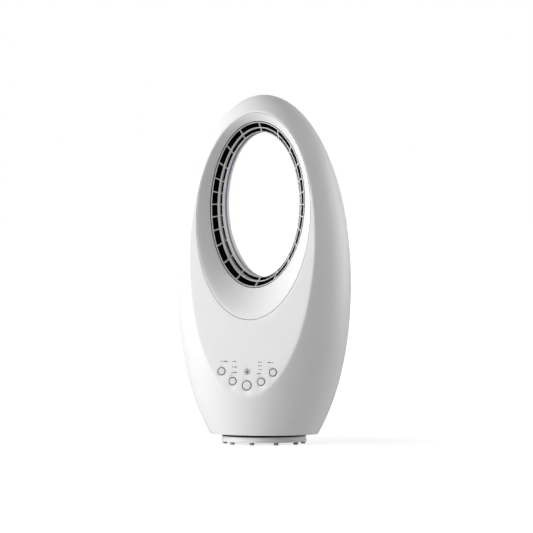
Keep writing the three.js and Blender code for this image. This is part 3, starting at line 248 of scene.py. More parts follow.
def quarter(edge, normal, past, radius, steps=4):
    """Rows that round an edge over: edge - normal * r (1 - cos a) - past * r (1 - sin a)."""
    bend = np.linspace(0, math.pi / 2, steps + 1)[:, None, None]
    return edge - normal * radius * (1 - np.cos(bend)) - past * radius * (1 - np.sin(bend))


def walled(skin, wall, roll, inner_step=1):
    """Closed wall under a skin: the skin, both its edges rounded over, and the skin again, moved
    back along its normals by the wall. The skin's rows run from one edge to the other."""
    rise = np.gradient(skin, axis=0)
    along = np.roll(skin, -1, 1) - np.roll(skin, 1, 1)
    normal = unit(np.cross(rise, along))
    past_first = unit(skin[0] - skin[1])
    past_last = unit(skin[-1] - skin[-2])
    first = quarter(skin[0], normal[0], past_first, roll)[::-1]
    last = quarter(skin[-1], normal[-1], past_last, roll)
    inner = (skin - wall * normal)[::-1]
    inner = np.concatenate([inner[:1], inner[1:-1:inner_step], inner[-1:]])
    return np.concatenate([first, skin[1:-1], last, inner])


def rounded(corners, radius, steps=3):
    """Closed section with its corners cut off over a radius and bowed by a quadratic curve.
    Corners are arrays of [radius, y] pairs, one pair for each ray."""
    corners = np.asarray(corners, float)
    before, after = np.roll(corners, 1, 0), np.roll(corners, -1, 0)
    rows = []
    radii = np.broadcast_to(radius, len(corners))
    for here, back, front, r in zip(corners, before, after, radii):
        into, out = back - here, front - here
        start = here + unit(into) * np.minimum(r, 0.45 * np.linalg.norm(into, axis=-1, keepdims=True))
        end = here + unit(out) * np.minimum(r, 0.45 * np.linalg.norm(out, axis=-1, keepdims=True))
        for t in np.linspace(0, 1, steps + 1):
            rows.append((1 - t) ** 2 * start + 2 * t * (1 - t) * here + t ** 2 * end)
    return np.array(rows)


def ring(corners, radius=0.4, steps=3, turn=RING_TURN):
    """Grid of a ring round the opening from the corners of its section, [radius, y] pairs."""
    shaped = [np.stack(np.broadcast_arrays(r, y, turn)[:2], axis=-1) for r, y in corners]
    section = rounded(shaped, radius, steps)
    return to_row(ring_point(turn[None, :], section[..., 0], section[..., 1]))


def lathe(corners, radius, steps=3, columns=128, loop=True):
    """Section of [radius, height] pairs turned about the Z axis, its corners rounded. An open
    section starts and ends on the axis."""
    corners = np.asarray(corners, float)
    section = rounded(corners[:, None, :], radius, steps)[:, 0]
    if not loop:
        section = section[steps:-steps] if steps else section
        section = np.concatenate([corners[:1], section, corners[-1:]])
    turn = np.linspace(0, 2 * math.pi, columns + 1)[:-1]
    r, z = section[:, :1], section[:, 1:]
    return np.stack(np.broadcast_arrays(r * np.cos(turn), r * np.sin(turn), z), axis=-1)


def on_panel(points, across=0, up=0):
    """Points laid on the flat front: x across, y up the slope, z out of it."""
    c, s = math.cos(PANEL_LEAN), math.sin(PANEL_LEAN)
    x, v, w = points[..., 0] + across, points[..., 1] + up, points[..., 2]
    reach = float(panel_reach(np.array(MIDDLE_BUTTON_H)))
    return np.stack([x, -reach + v * s - w * c, MIDDLE_BUTTON_H + v * c + w * s], axis=-1)


def cut(target, cutters):
    """Takes the cutters out of the target and leaves a plain mesh."""
    tools = bpy.data.collections.new("cutters")
    for cutter in cutters:
        tools.objects.link(cutter)
    step = target.modifiers.new("cut", "BOOLEAN")
    step.operand_type = "COLLECTION"
    step.collection = tools
    step.solver = "EXACT"
    graph = bpy.context.evaluated_depsgraph_get()
    mesh = bpy.data.meshes.new_from_object(target.evaluated_get(graph))
    target.modifiers.clear()
    target.data = mesh
    for cutter in cutters:
        bpy.data.objects.remove(cutter)
    bpy.data.collections.remove(tools)
    mesh.polygons.foreach_set("use_smooth", np.ones(len(mesh.polygons), bool))
    mesh.set_sharp_from_angle(angle=math.radians(28))
    return target


def place(piece, body, slot, finish, *nodes):
    """Puts a piece on its body, with its finish, in place of its CAD nodes."""
    piece.data.materials.clear()
    piece.data.materials.append(finish)
    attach(piece, body)
    if nodes:
        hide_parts(*nodes)


# ------------------------------------------------------------------ finishes

class Value:
    """One output inside a material. Its operators add Math nodes."""

    def __init__(self, finish, socket):
        self.finish = finish
        self.socket = socket

    def __add__(self, other):
        return self.finish.math("ADD", self, other)

    def __mul__(self, other):
        return self.finish.math("MULTIPLY", self, other)


class Finish:
    """One material under construction."""

    def __init__(self, name):
        self.material = bpy.data.materials.new(name)
        self.material.use_nodes = True
        self.tree = self.material.node_tree
        self.tree.nodes.clear()
        self.place = self.node("ShaderNodeTexCoord", output="Object")

    def node(self, kind, settings=None, inputs=None, output=0):
        """Adds a node, first its settings, then the values or links of its sockets."""
        made = self.tree.nodes.new(kind)
        for key, value in (settings or {}).items():
            setattr(made, key, value)
        for key, value in (inputs or {}).items():
            if isinstance(value, Value):
                self.tree.links.new(value.socket, made.inputs[key])
            else:
                made.inputs[key].default_value = value
        return Value(self, made.outputs[output])

    def math(self, operation, a, b):
        return self.node("ShaderNodeMath", {"operation": operation}, {0: a, 1: b})

    def noise(self, scale, detail=2, stretch=None):
        """Smooth noise from 0 to 1, at cells of 1 / scale metres; stretch scales each axis."""
        spot = self.place
        if stretch:
            spot = self.node("ShaderNodeMapping", inputs={"Vector": spot, "Scale": stretch})
        return self.node("ShaderNodeTexNoise", inputs={
            "Vector": spot, "Scale": scale, "Detail": detail})

    def blend(self, amount, first, second):
        """Colour between two colours."""
        made = self.node("ShaderNodeMix", {"data_type": "RGBA"}, output=2)
        mixer = made.socket.node
        for index, value in ((0, amount), (6, first), (7, second)):
            if isinstance(value, Value):
                self.tree.links.new(value.socket, mixer.inputs[index])
            elif index:
                mixer.inputs[index].default_value = (*value, 1)
            else:
                mixer.inputs[index].default_value = value
        return made

    def bump(self, height, strength, distance):
        return self.node("ShaderNodeBump", inputs={
            "Height": height, "Strength": strength, "Distance": distance})

    def done(self, **sockets):
        """The surface: sockets are the shader's own, with spaces written as underscores."""
        values = {key.replace("_", " "): value for key, value in sockets.items()}
        for key, value in values.items():
            if key.endswith("Color") and not isinstance(value, Value):
                values[key] = (*value, 1)
        shader = self.node("ShaderNodeBsdfPrincipled", inputs=values)
        out = self.tree.nodes.new("ShaderNodeOutputMaterial")
        self.tree.links.new(shader.socket, out.inputs["Surface"])
        return self.material


def shade(colour, factor):
    return tuple(min(1, part * factor) for part in colour)


def moulded_plastic(name, colour, roughness, grain, grain_depth,
                    coat=0.0, specular=0.5, painted_shade_from=None):
    """Injection-moulded plastic: a little colour drift over the part, roughness that varies with
    handling, slow ripples of the mould face and the fine grain of its texture. Above the height
    in its last argument, in metres, the colour is painted dark: a painted shadow."""
    f = Finish(name)
    drift = f.noise(9, 2)
    rub = f.noise(45, 3)
    ripple = f.noise(110, 1)
    fine = f.noise(grain, 2)
    tint = f.blend(drift, shade(colour, 0.985), shade(colour, 1.01))
    # Painted shadow: above the given height the colour turns near black, standing for the shade under
    # the housing.
    if painted_shade_from:
        height = f.node("ShaderNodeSeparateXYZ", inputs={"Vector": f.place}, output="Z")
        painted_shade_strip = f.node("ShaderNodeMapRange", {"interpolation_type": "SMOOTHSTEP"}, {
            "Value": height, "From Min": painted_shade_from - 0.0003, "From Max": painted_shade_from + 0.0003})
        tint = f.blend(painted_shade_strip, tint, (0.02, 0.02, 0.02))
    return f.done(
        Base_Color=tint,
        Roughness=rub * 0.08 + (roughness - 0.04),
        Coat_Weight=coat,
        Coat_Roughness=0.12,
        IOR=1.49,
        Specular_IOR_Level=specular,
        Normal=f.bump(fine * 0.5 + ripple, 0.25, grain_depth),
    )


def soft_rubber(name, colour):
    """Rubber: matt, slightly dusty on top of a fine open grain."""
    f = Finish(name)
    dust = f.noise(60, 4)
    grain = f.noise(2600, 3)
    return f.done(
        Base_Color=f.blend(dust, shade(colour, 0.8), shade(colour, 1.5)),
        Roughness=dust * 0.15 + 0.75,
        Specular_IOR_Level=0.3,
        Normal=f.bump(grain, 0.5, 0.00012),
    )


def turned_steel(name, colour):
    """Steel: fine turning lines with cloudy variation of the polish."""
    f = Finish(name)
    lines = f.noise(900, 2, (0.15, 0.15, 4))
    cloud = f.noise(40, 3)
    return f.done(
        Base_Color=f.blend(cloud, shade(colour, 0.88), colour),
        Metallic=1.0,
        Roughness=lines * 0.12 + cloud * 0.1 + 0.2,
        Normal=f.bump(lines, 0.2, 0.00006),
    )


def circuit_board(name, colour):
    """Circuit board: green lacquer over raised tracks that run square to each other."""
    f = Finish(name)
    wide = f.node("ShaderNodeTexBrick", {"offset": 0.5}, {
        "Vector": f.place, "Scale": 180.0, "Mortar Size": 0.06, "Color1": (0, 0, 0, 1),
        "Color2": (0.2, 0.2, 0.2, 1), "Mortar": (1, 1, 1, 1)}, output="Fac")
    dust = f.noise(120, 3)
    return f.done(
        Base_Color=f.blend(wide, colour, shade(colour, 2.2)),
        Roughness=dust * 0.2 + 0.3,
        Normal=f.bump(wide, 0.4, 0.00005),
    )


def filter_fibre(name, colour):
    """Open filter mat: a tangle of fibres with dark pores."""
    f = Finish(name)
    pores = f.node("ShaderNodeTexVoronoi", {"feature": "DISTANCE_TO_EDGE"}, {
        "Vector": f.place, "Scale": 420.0})
    felt = f.noise(900, 4)
    return f.done(
        Base_Color=f.blend(felt, shade(colour, 0.45), shade(colour, 1.3)),
        Roughness=felt * 0.1 + 0.88,
        Normal=f.bump(pores + felt * 0.3, 0.8, 0.0008),
    )


GLOSS_WHITE = moulded_plastic("gloss_white", (0.9, 0.9, 0.895), 0.42, 1400, 0.00002, 0.06)
# The base's white is a darker copy of the gloss white: painted shade under the housing's overhang,
# with a painted shadow strip along its top.
BASE_WHITE_PAINTED_SHADE = moulded_plastic("base_white_painted_shade", (0.8, 0.8, 0.795), 0.5, 1400, 0.00002,
                             painted_shade_from=BASE_PAINTED_SHADE_Z / 1000)
SATIN_WHITE = moulded_plastic("satin_white", (0.84, 0.84, 0.835), 0.48, 2600, 0.00004)
TRIM_VIOLET = moulded_plastic("violet_trim", (0.17, 0.15, 0.27), 0.5, 2200, 0.00003)
MARK_GREY = moulded_plastic("printed_grey", (0.15, 0.15, 0.155), 0.5, 3000, 0.00002)
PRINT_DARK = moulded_plastic("printed_dark", (0.04, 0.04, 0.042), 0.6, 3000, 0.00001)
BLACK_PLASTIC = moulded_plastic("black_plastic", (0.006, 0.006, 0.0065), 0.8, 1800, 0.00008,
                                specular=0.15)
GLASS_BLACK = moulded_plastic("smoked_window", (0.02, 0.018, 0.024), 0.08, 900, 0.00001, 0.5)
NATURAL = moulded_plastic("natural_acetal", (0.78, 0.76, 0.68), 0.38, 1600, 0.00004)
RUBBER = soft_rubber("rubber", (0.045, 0.045, 0.05))
PALE_RUBBER = soft_rubber("pale_rubber", (0.34, 0.34, 0.34))
STEEL = turned_steel("steel", (0.62, 0.63, 0.65))
BOARD = circuit_board("circuit_board", (0.03, 0.16, 0.07))
MAT = filter_fibre("filter_mat", (0.2, 0.21, 0.22))

BY_SLOT = {
    "gloss_white": GLOSS_WHITE, "satin_white": SATIN_WHITE, "lavender": TRIM_VIOLET,
    "black_plastic": BLACK_PLASTIC, "rubber": RUBBER, "steel": STEEL,
    "natural_plastic": NATURAL, "board": BOARD, "filter_mat": MAT,
}
for part in frame["record"]["subparts"]:
    node = frame["nodes"][part["node"]]
    node.data.materials.clear()
    node.data.materials.append(BY_SLOT[part["material_slot"]])


# ------------------------------------------------------------------ housing shells

def front_y(x, h):
    """Front of the housing: the nearer of the flat panel and the egg, their crease rounded by
    min(a, b) - max(k - |a - b|, 0) ** 2 / 4k."""
    flat, round_ = panel_reach(h), egg_reach(x, h)
    near = np.minimum(flat, round_)
    return -(near - np.clip(FILLET - np.abs(flat - round_), 0, None) ** 2 / (4 * FILLET))


def shell_skin(start, crease, side, rows_flat, rows_round):
    """Rows of the outside from an oval to the parting line or the lower edge. Past the crease
    the distance along a ray is the edge distance times the sine of an even angle, so the rows
    close up where the wall turns away."""
    turn = BODY_TURN
    edge = egg_edge(turn)
    lowest = np.where(np.sin(turn) < 0, -HOLE_H / np.minimum(np.sin(turn), -1e-9), 1e9)
    last = np.arcsin(np.clip(lowest / edge, 0, 1)) - np.where(lowest < edge, 0, 0.15 / 100)
    spread = np.minimum(2.4, (crease - start) / 2.5)
    flat = start + (crease - spread - start) * np.linspace(0, 1, rows_flat)[:, None]
    bend = crease + spread * np.linspace(-1, 1, 9)[1:, None]
    first = np.arcsin(np.clip((crease + spread) / edge, 0, 1))
    angle = first + (last - first) * np.linspace(0, 1, rows_round)[1:, None]
    reach = np.concatenate([flat, bend, edge * np.sin(angle)])
    x, h = reach * np.cos(turn), height_on(turn, reach)
    y = front_y(x, h) if side < 0 else egg_reach(x, h)
    return np.stack([x, y, h], axis=-1)


def front_shell():
    """Front half of the housing: flat leaning face, rounded crease and the egg behind it."""
    turn = BODY_TURN
    seam = oval_radius(SEAM, turn)

    def flat(reach):
        h = height_on(turn, reach)
        return egg_reach(reach * np.cos(turn), h) > panel_reach(h)
    crease = bisect(flat, seam, egg_edge(turn))
    skin = shell_skin(seam, crease, -1, 8, 30)
    skin[:, :, 1] = np.minimum(skin[:, :, 1], -GAP / 2)
    shell = build("front_shell_moulding", [to_row(walled(skin, SHELL_WALL, SHELL_ROLL, 3))])
    holes = []
    for across, up, radius in [*BUTTONS, RECEIVER]:
        r, lip = radius + GAP, HOLE_LIP
        section = [[0, HOLE_DEEP], [r + 2 * lip, HOLE_DEEP], [r + 2 * lip, lip], [r + lip, 0],
                   [r + 0.1, -0.12], [r, -lip], [r, -HOLE_DEEP], [0, -HOLE_DEEP]]
        bore = lathe(section, CUTTER_EDGE, 1, 64, False)
        holes.append(build("hole", [to_row(on_panel(bore, across, up))], loop=False))
    return cut(shell, holes)


def rear_shell():
    """Back half of the housing, round the flared opening and the intake."""
    turn = BODY_TURN
    rim = oval_radius(REAR_RIM, turn, GAP)
    skin = shell_skin(rim, rim + 8, 1, 3, 34)
    skin[:, :, 1] = np.maximum(skin[:, :, 1], GAP / 2)
    shell = build("rear_shell_moulding", [to_row(walled(skin[:, ::-1], SHELL_WALL, SHELL_ROLL, 3))])
    wide, high, middle = INTAKE
    oval = np.linspace(0, 2 * math.pi, 97)[:-1]
    x, h = (wide + GAP) * np.cos(oval), middle + (high + GAP) * np.sin(oval)
    bar = np.stack([np.stack([x, np.full_like(x, y), h], axis=-1)
                    for y in (HALF_DEPTH / 3, 2 * HALF_DEPTH)])
    r, deep = GLAND_RADIUS + GLAND_HOLE_ROOM, GLAND_HOLE_DEEP
    bore = lathe([[0, deep], [r, deep], [r, -deep], [0, -deep]], CUTTER_EDGE, 1, 48, False)
    tools = [build("hole", [to_row(bar)], loop=False, caps=True),
             build("hole", [to_row(on_lower_back(bore))], loop=False)]
    r, deep = SCREW_HEAD + GAP, 200
    for x, h in SHELL_SCREWS:
        well = lathe([[0, 0], [r, 0], [r, deep], [0, deep]], CUTTER_EDGE, 1, 40, False)
        well = np.stack([well[..., 0] + x, well[..., 2] + SCREW_GRIP, well[..., 1] + h], axis=-1)
        tools.append(build("hole", [to_row(well)], loop=False))
    return cut(shell, tools)


def on_lower_back(points):
    """Points laid on the lower back wall at the gland: z square to the wall, outwards."""
    level = np.array([GLAND_H - 1.0, GLAND_H + 1.0, GLAND_H])
    low, high, here = half_depth(level)
    tilt = math.atan((high - low) / 2)
    c, s = math.cos(tilt), math.sin(tilt)
    x, v, w = points[..., 0], points[..., 1], points[..., 2]
    return np.stack([x, here + v * s + w * c, GLAND_H + v * c - w * s], axis=-1)


# ------------------------------------------------------------------ opening

def groove_radius(turn):
    return oval_radius(GROOVE, turn)


def throat_radius(turn):
    return oval_radius(THROAT, turn)


def groove_y(turn):
    return -reach_at(GROOVE_REACH, height_on(turn, groove_radius(turn)), GROOVE[1])


def throat_y(turn):
    return -reach_at(THROAT_REACH, height_on(turn, throat_radius(turn)), THROAT[1])


def funnel():
    """Funnel from the seam to the groove: radius runs evenly with t, depth as t ** power."""
    turn = RING_TURN
    rim = oval_radius(SEAM, turn, -SEAM_GAP)
    rim_y = -panel_reach(height_on(turn, rim))
    inner, inner_y = groove_radius(turn), groove_y(turn)
    t = np.linspace(0, 1, 33)[:, None]
    skin = ring_point(turn, rim + (inner - rim) * t, rim_y + (inner_y - rim_y) * t ** FUNNEL_POWER)
    return build("funnel_moulding", [to_row(walled(skin[:, ::-1], LINER_WALL, FUNNEL_ROLL, 4))])


def grille_point(turn, station, depth):
    """Point on the grille's cone: a station from the groove (0) to the throat (1), set back."""
    start = np.stack(np.broadcast_arrays(groove_radius(turn) - GROOVE_GAP, groove_y(turn)), axis=-1)
    run = np.stack(np.broadcast_arrays(throat_radius(turn), throat_y(turn)), axis=-1) - start
    way = unit(run)
    back = np.stack([way[..., 1], -way[..., 0]], axis=-1)
    spot = start + run * np.asarray(station)[..., None] + back * np.asarray(depth)[..., None]
    return spot[..., 0], spot[..., 1]


def station_at(turn, radius):
    """Station at which the grille's cone passes a radius."""
    start = groove_radius(turn) - GROOVE_GAP
    return (start - radius) / (start - throat_radius(turn))


def grille():
    """Outlet grille: front rim, louvre hoop and throat lip, crossed by the ribs."""
    turn = RING_TURN
    flat = np.zeros_like(turn)

    def at(station, depth):
        return grille_point(turn, flat + station, flat + depth)
    rim = ring([at(0, 0), at(RIM_END, 0), at(RIM_END, LINER_WALL),
                (groove_radius(turn) - GROOVE_GAP, groove_y(turn) + LINER_WALL)], 0.4)
    outer = oval_radius(HOOP, turn)
    inner = outer - HOOP_THICK
    hoop = ring([at(station_at(turn, outer), 0), at(station_at(turn, inner), 0),
                 (inner, flat + HOOP_BACK), (outer, flat + HOOP_BACK)], [0.45, 0.5, 0.3, 0.3])
    throat, front = throat_radius(turn), throat_y(turn)
    lip = ring([(throat, front), (throat, flat + THROAT_LIP), (throat + LINER_WALL, flat + THROAT_LIP),
                (throat + LIP_EDGE, front)], [0.4, 0.25, 0.25, 0.4])
    rings = build("grille_rings", [rim, hoop, lip])
    bars = [rib(2 * math.pi * i / RIB_COUNT) for i in range(RIB_COUNT)]
    return rings, build("grille_ribs", bars, loop=False, caps=True)


def rib(angle):
    """One radial rib: a rounded bar whose front edge runs straight from the rim to the lip, and
    whose back follows the straight runs between its corners behind the rim, hoop and lip."""
    turn = np.array([angle])
    throat, front = throat_radius(turn), throat_y(turn)

    def at(station, depth):
        return np.array(grille_point(turn, np.array([station]), np.array([depth])))[:, 0]
    hoop = float(station_at(turn, oval_radius(HOOP, turn))[0])
    first = at(RIM_END - RIB_BITE, RIB_SET_BACK)
    last = np.array([throat[0] + LIP_EDGE / 2, front[0] + RIB_SET_BACK])
    marks = [0, 3 * RIM_END, hoop, 1]
    backs = np.array([first + (0, 0.5), at(3 * RIM_END, RIB_DEPTH), at(hoop, RIB_DEPTH),
                      (throat[0] + LIP_EDGE, front[0] + RIB_DEPTH / 2)])
    run = np.sort(np.concatenate([np.linspace(0, 1, 9), marks[1:3]]))[:, None]
    near = first + (last - first) * run
    far = np.stack([np.interp(run[:, 0], marks, backs[:, k]) for k in (0, 1)], axis=-1)
    half = RIB_THICK / 2
    side = np.array([-half, -half * 0.85, -half * 0.4, half * 0.4, half * 0.85, half, half, -half])
    deep = np.array([0.12, 0.035, 0, 0, 0.035, 0.12, 1, 1])[:, None]
    front_edge = ring_point(angle, near[:, 0], near[:, 1])[:, None]
    rear_edge = ring_point(angle, far[:, 0], far[:, 1])[:, None]
    across = np.array([-math.sin(angle), 0, math.cos(angle)])
    return to_row(front_edge + (rear_edge - front_edge) * deep + across * side[:, None])


def accent():
    """Violet ring in the throat."""
    throat = throat_radius(RING_TURN)
    start, end = THROAT_LIP + GAP, THROAT_LIP + GAP + ACCENT_WIDTH
    flat = np.zeros_like(throat)
    return build("throat_trim", [ring([
        (throat, flat + start), (throat, flat + end),
        (throat + LINER_WALL, flat + end), (throat + LINER_WALL, flat + start)], 0.25)])


def throat_lining():
    """Lining behind the trim: straight, then opening out to the rear rim."""
    turn = RING_TURN
    throat, rim = throat_radius(turn), oval_radius(REAR_RIM, turn)
    rim_y = egg_reach(rim * np.cos(turn), height_on(turn, rim))
    front = THROAT_LIP + 2 * GAP + ACCENT_WIDTH
    flat = np.zeros_like(turn)
    return build("throat_lining", [ring([
        (throat, flat + front), (throat, flat + FLARE_Y), (rim, rim_y),
        (rim, rim_y - SHELL_WALL), (throat + LINER_WALL, flat + FLARE_Y - LINER_WALL / 2),
        (throat + LINER_WALL, flat + front)], [0.25, 10, 0.4, 0.4, 10, 0.4], 8)])


# ------------------------------------------------------------------ back

def intake():
    """Intake grille: the wall inside the oval, with round-ended level slots beside a spine."""
    wide, high, middle = INTAKE
    turn = np.linspace(0, 2 * math.pi, 129)[:-1]
    t = np.concatenate([[0.004], np.linspace(0.06, 1, 18)])[:, None]
    x, h = wide * t * np.cos(turn), middle + high * t * np.sin(turn)
    skin = np.stack([x, egg_reach(x, h), h], axis=-1)
    panel = build("intake_moulding", [to_row(walled(skin[:, ::-1], SHELL_WALL, INTAKE_ROLL, 2))])
    pitch = 2 * high / (INTAKE_SLOTS + 1)
    half = (pitch - INTAKE_BAR) / 2
    slots = []
    for i in range(1, INTAKE_SLOTS + 1):
        offset = -high + pitch * i
        reach = wide * math.sqrt(1 - (offset / high) ** 2) - INTAKE_BAR * 1.6
        for side in (-1, 1):
            slots.append(slot_tool(side, INTAKE_SPINE, reach, middle + offset, half))
    return cut(panel, slots)


def slot_tool(side, start, end, h, half):
    """Bar with round ends through the back wall, for one slot."""
    bend = np.linspace(-math.pi / 2, math.pi / 2, 17)
    x = np.concatenate([end - half + half * np.cos(bend), start + half - half * np.cos(bend)])
    z = np.concatenate([half * np.sin(bend), -half * np.sin(bend)])
    bar = np.stack([np.stack([side * x, np.full_like(x, y), h + z], axis=-1)
                    for y in (30.0, 150.0)])
    return build("slot", [to_row(bar)], loop=False, caps=True)


# ------------------------------------------------------------------ printed marks

def print_on_panel(x, v):
    """Thin slab on the flat front over an outline."""
    slab = np.stack([np.stack([x, v, np.full_like(x, z)], axis=-1) for z in (-PRINT, PRINT)])
    return to_row(on_panel(slab))


def bar_print(across, up, width, height=1.5):
    x = np.array([-1, 1, 1, -1]) * width / 2 + across
    v = np.array([-1, -1, 1, 1]) * height / 2 + up
    return print_on_panel(x, v)


def dot_print(across, up, radius):
    turn = np.linspace(0, 2 * math.pi, 25)[:-1]
    return print_on_panel(radius * np.cos(turn) + across, radius * np.sin(turn) + up)


def panel_marks():
    """Plain dots and bars beside the buttons, and the ring of dots round the receiver."""
    dots, bars = [(-48.6, 42.1), (46.7, 41.0)], [(-41, 42.1, 8), (40.2, 41.0, 7)]
    for up, width in ((42.1, 4), (32.4, 6), (22.4, 6)):
        dots.append((-27.4, up))
        bars.append((-27.4 + 2.2 + width / 2, up, width))
    for up, width in ((41.4, 3), (34.9, 3), (28.1, 2), (21.1, 5)):
        dots.append((25.3, up))
        bars.append((25.3 - 2.4 - width / 2, up, width))
    grids = [bar_print(*bar) for bar in bars] + [dot_print(*dot, DOT) for dot in dots]
    for index in range(RECEIVER_DOTS):
        turn = 2 * math.pi * index / RECEIVER_DOTS
        grids.append(dot_print(RECEIVER[0] + DOT_CIRCLE * math.cos(turn),
                               RECEIVER[1] + DOT_CIRCLE * math.sin(turn), RECEIVER_DOT))
    return build("panel_marks", grids, loop=False, caps=True)


# ------------------------------------------------------------------ making

place(front_shell(), "housing", "gloss_white", GLOSS_WHITE, "front_shell")
place(rear_shell(), "housing", "gloss_white", GLOSS_WHITE, "rear_shell")
place(funnel(), "housing", "gloss_white", GLOSS_WHITE, "funnel_ring")
rings, ribs = grille()
place(rings, "housing", "satin_white", SATIN_WHITE, "outlet_grille")
place(ribs, "housing", "satin_white", SATIN_WHITE, "outlet_grille")
place(accent(), "housing", "lavender", TRIM_VIOLET, "accent_ring")
place(throat_lining(), "housing", "satin_white", SATIN_WHITE, "throat_ring")
place(intake(), "housing", "gloss_white", GLOSS_WHITE, "intake_grille")

for index, (across, up, radius) in enumerate(BUTTONS, 1):
    inner, foot, wide = radius - 1.5, radius - BUTTON_BAND, radius + BUTTON_SKIRT
    cap = lathe([[0, 0.35 * BUTTON_PROUD], [inner, BUTTON_PROUD],
                 [inner, -BUTTON_CAP_DEEP], [0, -BUTTON_CAP_DEEP]],
                [0.1, 0.35, 0.1, 0.1], 3, 72, False)
    band = lathe([[foot, BUTTON_PROUD - 0.05], [radius, BUTTON_PROUD - 0.1],
                  [radius, -BUTTON_SKIRT_TOP], [wide, -BUTTON_SKIRT_TOP],
                  [wide, -BUTTON_SKIRT_END], [foot, -BUTTON_SKIRT_END]],
                 [0.15, 0.4, 0.05, 0.05, 0.05, 0.05], 3, 72)
    body = f"button_{index}"
    place(build(f"button_cap_{index}", [to_row(on_panel(cap, across, up))], loop=False),
          body, "satin_white", SATIN_WHITE, body)
    place(build(f"button_band_{index}", [to_row(on_panel(band, across, up))]),
          body, "lavender", MARK_GREY, body)

bezel = lathe([[BEZEL_RADIUS, 0], [RECEIVER[2], 0],
               [RECEIVER[2], -LENS_DEEP], [BEZEL_RADIUS, -LENS_DEEP]], 0.2, 2, 64)
lens_cap = lathe([[0, -LENS_SET_BACK], [LENS_RADIUS, -LENS_SET_BACK],
                  [LENS_RADIUS, -LENS_DEEP], [0, -LENS_DEEP]], 0.1, 2, 64, False)
place(build("receiver_bezel", [to_row(on_panel(bezel, *RECEIVER[:2]))]),
      "housing", "satin_white", SATIN_WHITE, "receiver_window")
place(build("receiver_lens", [to_row(on_panel(lens_cap, *RECEIVER[:2]))], loop=False),
      "housing", "black_plastic", GLASS_BLACK, "receiver_window")
place(panel_marks(), "housing", "lavender", PRINT_DARK)

bush = lathe([[GLAND_BORE, -GLAND_DEEP], [GLAND_RADIUS, -GLAND_DEEP], [GLAND_RADIUS, GAP],
              [GLAND_FLANGE, GAP], [GLAND_FLANGE, GAP + GLAND_FLANGE_THICK],
              [GLAND_RADIUS, GLAND_NOSE], [GLAND_BORE, GLAND_NOSE]], 0.4, 3, 64)
place(build("lead_bush", [to_row(on_lower_back(bush))]), "housing", "rubber", RUBBER, "cord_gland")

top, low = BASE_TOP_Z, FOOT_HEIGHT
shoulder, edge = BASE_RADIUS - BASE_LIP, top - BASE_EDGE_DROP
cover = lathe([
    [BASE_RADIUS - BASE_WALL, low], [BASE_RADIUS, low], [BASE_RADIUS, low + 2.2],
    [shoulder + 0.5, low + 3.2], [shoulder, edge], [shoulder - 4, edge], [shoulder - 5.6, top],
    [BASE_BORE, top], [BASE_BORE, top - BASE_WALL], [shoulder - 6, top - BASE_WALL],
    [shoulder - BASE_WALL, top - 4], [BASE_RADIUS - BASE_WALL, top - 6]],
    [0.4, 0.5, 0.8, 0.8, 0.8, 0.4, 0.4, 0.4, 0.4, 1, 1, 1], 4, 160)
place(build("base_moulding", [base_row(cover)]), "base", "gloss_white", BASE_WHITE_PAINTED_SHADE, "base_cover")

for index in range(FOOT_COUNT):
    angle = math.pi / 2 + 2 * math.pi * index / FOOT_COUNT
    pad = lathe([[0, 0], [FOOT_RADIUS, 0], [FOOT_RADIUS, low - GAP], [0, low - GAP]],
                [0.1, 0.9, 0.3, 0.1], 4, 48, False)
    pad = pad + (FOOT_CIRCLE * math.cos(angle), FOOT_CIRCLE * math.sin(angle), 0)
    place(build(f"foot_pad_{index + 1}", [base_row(pad)], loop=False),
          "base", "rubber", PALE_RUBBER, f"foot_{index + 1}")


# ------------------------------------------------------------------ stage, light and camera

def painted_floor():
    """Pale floor that reads as white from the camera and still takes the soft shadow: a glow
    seen only by the camera, which covers the floor wholly from about a metre out."""
    f = Finish("studio_floor")
    path = f.tree.nodes.new("ShaderNodeLightPath")
    seen = Value(f, path.outputs["Is Camera Ray"])
    distance = f.node("ShaderNodeVectorMath", {"operation": "LENGTH"}, {0: f.place}, output=1)
    far = f.node("ShaderNodeMapRange", {"interpolation_type": "SMOOTHSTEP"}, {
        "Value": distance, "From Min": 0.15, "From Max": 1.1, "To Min": 0.5, "To Max": 1.0})
    speckle = f.noise(700, 2)
    paper = f.node("ShaderNodeBsdfDiffuse", inputs={
        "Color": f.blend(speckle, (0.74, 0.74, 0.74), (0.78, 0.78, 0.78))})
    glow = f.node("ShaderNodeEmission", inputs={"Color": (1, 1, 1, 1), "Strength": 1.6})
    mixed = f.node("ShaderNodeMixShader", inputs={0: seen * far, 1: paper, 2: glow})
    out = f.tree.nodes.new("ShaderNodeOutputMaterial")
    f.tree.links.new(mixed.socket, out.inputs["Surface"])
    return f.material


floor_mesh = bpy.data.meshes.new("floor")
floor_mesh.from_pydata([(40 * x, 40 * y, 0) for x, y in ((-1, -1), (1, -1), (1, 1), (-1, 1))],
                       [], [(0, 1, 2, 3)])
floor = bpy.data.objects.new("floor", floor_mesh)
bpy.context.scene.collection.objects.link(floor)
floor_mesh.materials.append(painted_floor())


def softbox(name, position, target, width, height, level):
    """Large soft lamp at a position, turned to a target; its energy follows the distance."""
    lamp = bpy.data.lights.new(name, "AREA")
    lamp.shape = "RECTANGLE"
    lamp.size, lamp.size_y = width, height
    way = Vector(target) - Vector(position)
    lamp.energy = math.pi ** 2 * way.length_squared * level
    holder = bpy.data.objects.new(name, lamp)
    holder.location = position
    holder.rotation_euler = way.to_track_quat("-Z", "Y").to_euler()
    bpy.context.scene.collection.objects.link(holder)


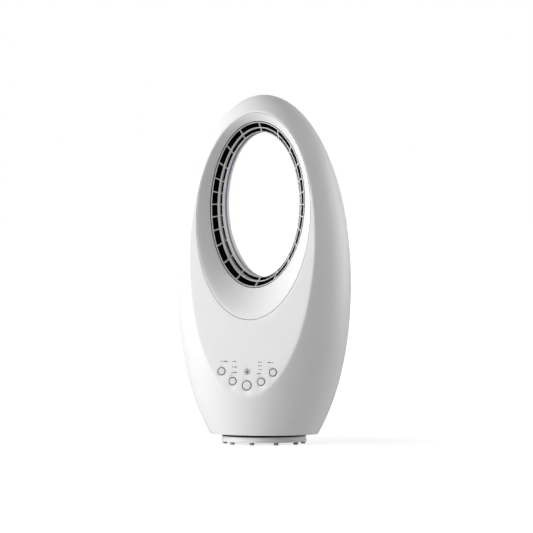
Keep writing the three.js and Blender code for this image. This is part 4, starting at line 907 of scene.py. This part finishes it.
MIDDLE = (0, 0, 0.32)
softbox("key_left", (-2.8, -1.4, 0.88), MIDDLE, 2.2, 1.72, 0.74)
softbox("fill_front", (-1.1, -2.8, 1.5), MIDDLE, 2.0, 1.8, 0.33)
softbox("rim_right", (2.5, 1.5, 0.88), MIDDLE, 2.4, 1.72, 0.5)

world = bpy.data.worlds.new("studio")
bpy.context.scene.world = world
world.use_nodes = True
tree = world.node_tree
tree.nodes.clear()
path = tree.nodes.new("ShaderNodeLightPath")
seen = tree.nodes.new("ShaderNodeMath")
seen.operation = "MAXIMUM"
tree.links.new(path.outputs["Is Camera Ray"], seen.inputs[0])
tree.links.new(path.outputs["Is Glossy Ray"], seen.inputs[1])
level = tree.nodes.new("ShaderNodeMapRange")
level.inputs["To Min"].default_value = 0.085
level.inputs["To Max"].default_value = 1.0
tree.links.new(seen.outputs[0], level.inputs["Value"])
back = tree.nodes.new("ShaderNodeBackground")
tree.links.new(level.outputs["Result"], back.inputs["Strength"])
back.inputs["Color"].default_value = (1, 1, 1, 1)
out = tree.nodes.new("ShaderNodeOutputWorld")
tree.links.new(back.outputs[0], out.inputs["Surface"])

YAW, RISE, DISTANCE = math.radians(18), math.radians(1), 8.64
PHOTO_PIXELS, PIXEL = 533, 0.001778      # the photo's width, and metres to a pixel at the fan
SENSOR = 36
across = Vector((math.cos(YAW), math.sin(YAW), 0))
toward = Vector((math.sin(YAW) * math.cos(RISE), -math.cos(YAW) * math.cos(RISE), math.sin(RISE)))
aim = Vector((0, AXIS_Y / 1000, 0.3147)) + across * 0.0044
lens = bpy.data.cameras.new("photo_view")
lens.sensor_width = SENSOR
lens.lens = SENSOR * DISTANCE / (PHOTO_PIXELS * PIXEL)
camera = bpy.data.objects.new("photo_view", lens)
camera.location = aim + toward * DISTANCE
camera.rotation_euler = (-toward).to_track_quat("-Z", "Y").to_euler()
lens.clip_end = 100
bpy.context.scene.collection.objects.link(camera)
bpy.context.scene.camera = camera
bpy.context.scene.view_settings.view_transform = "Standard"
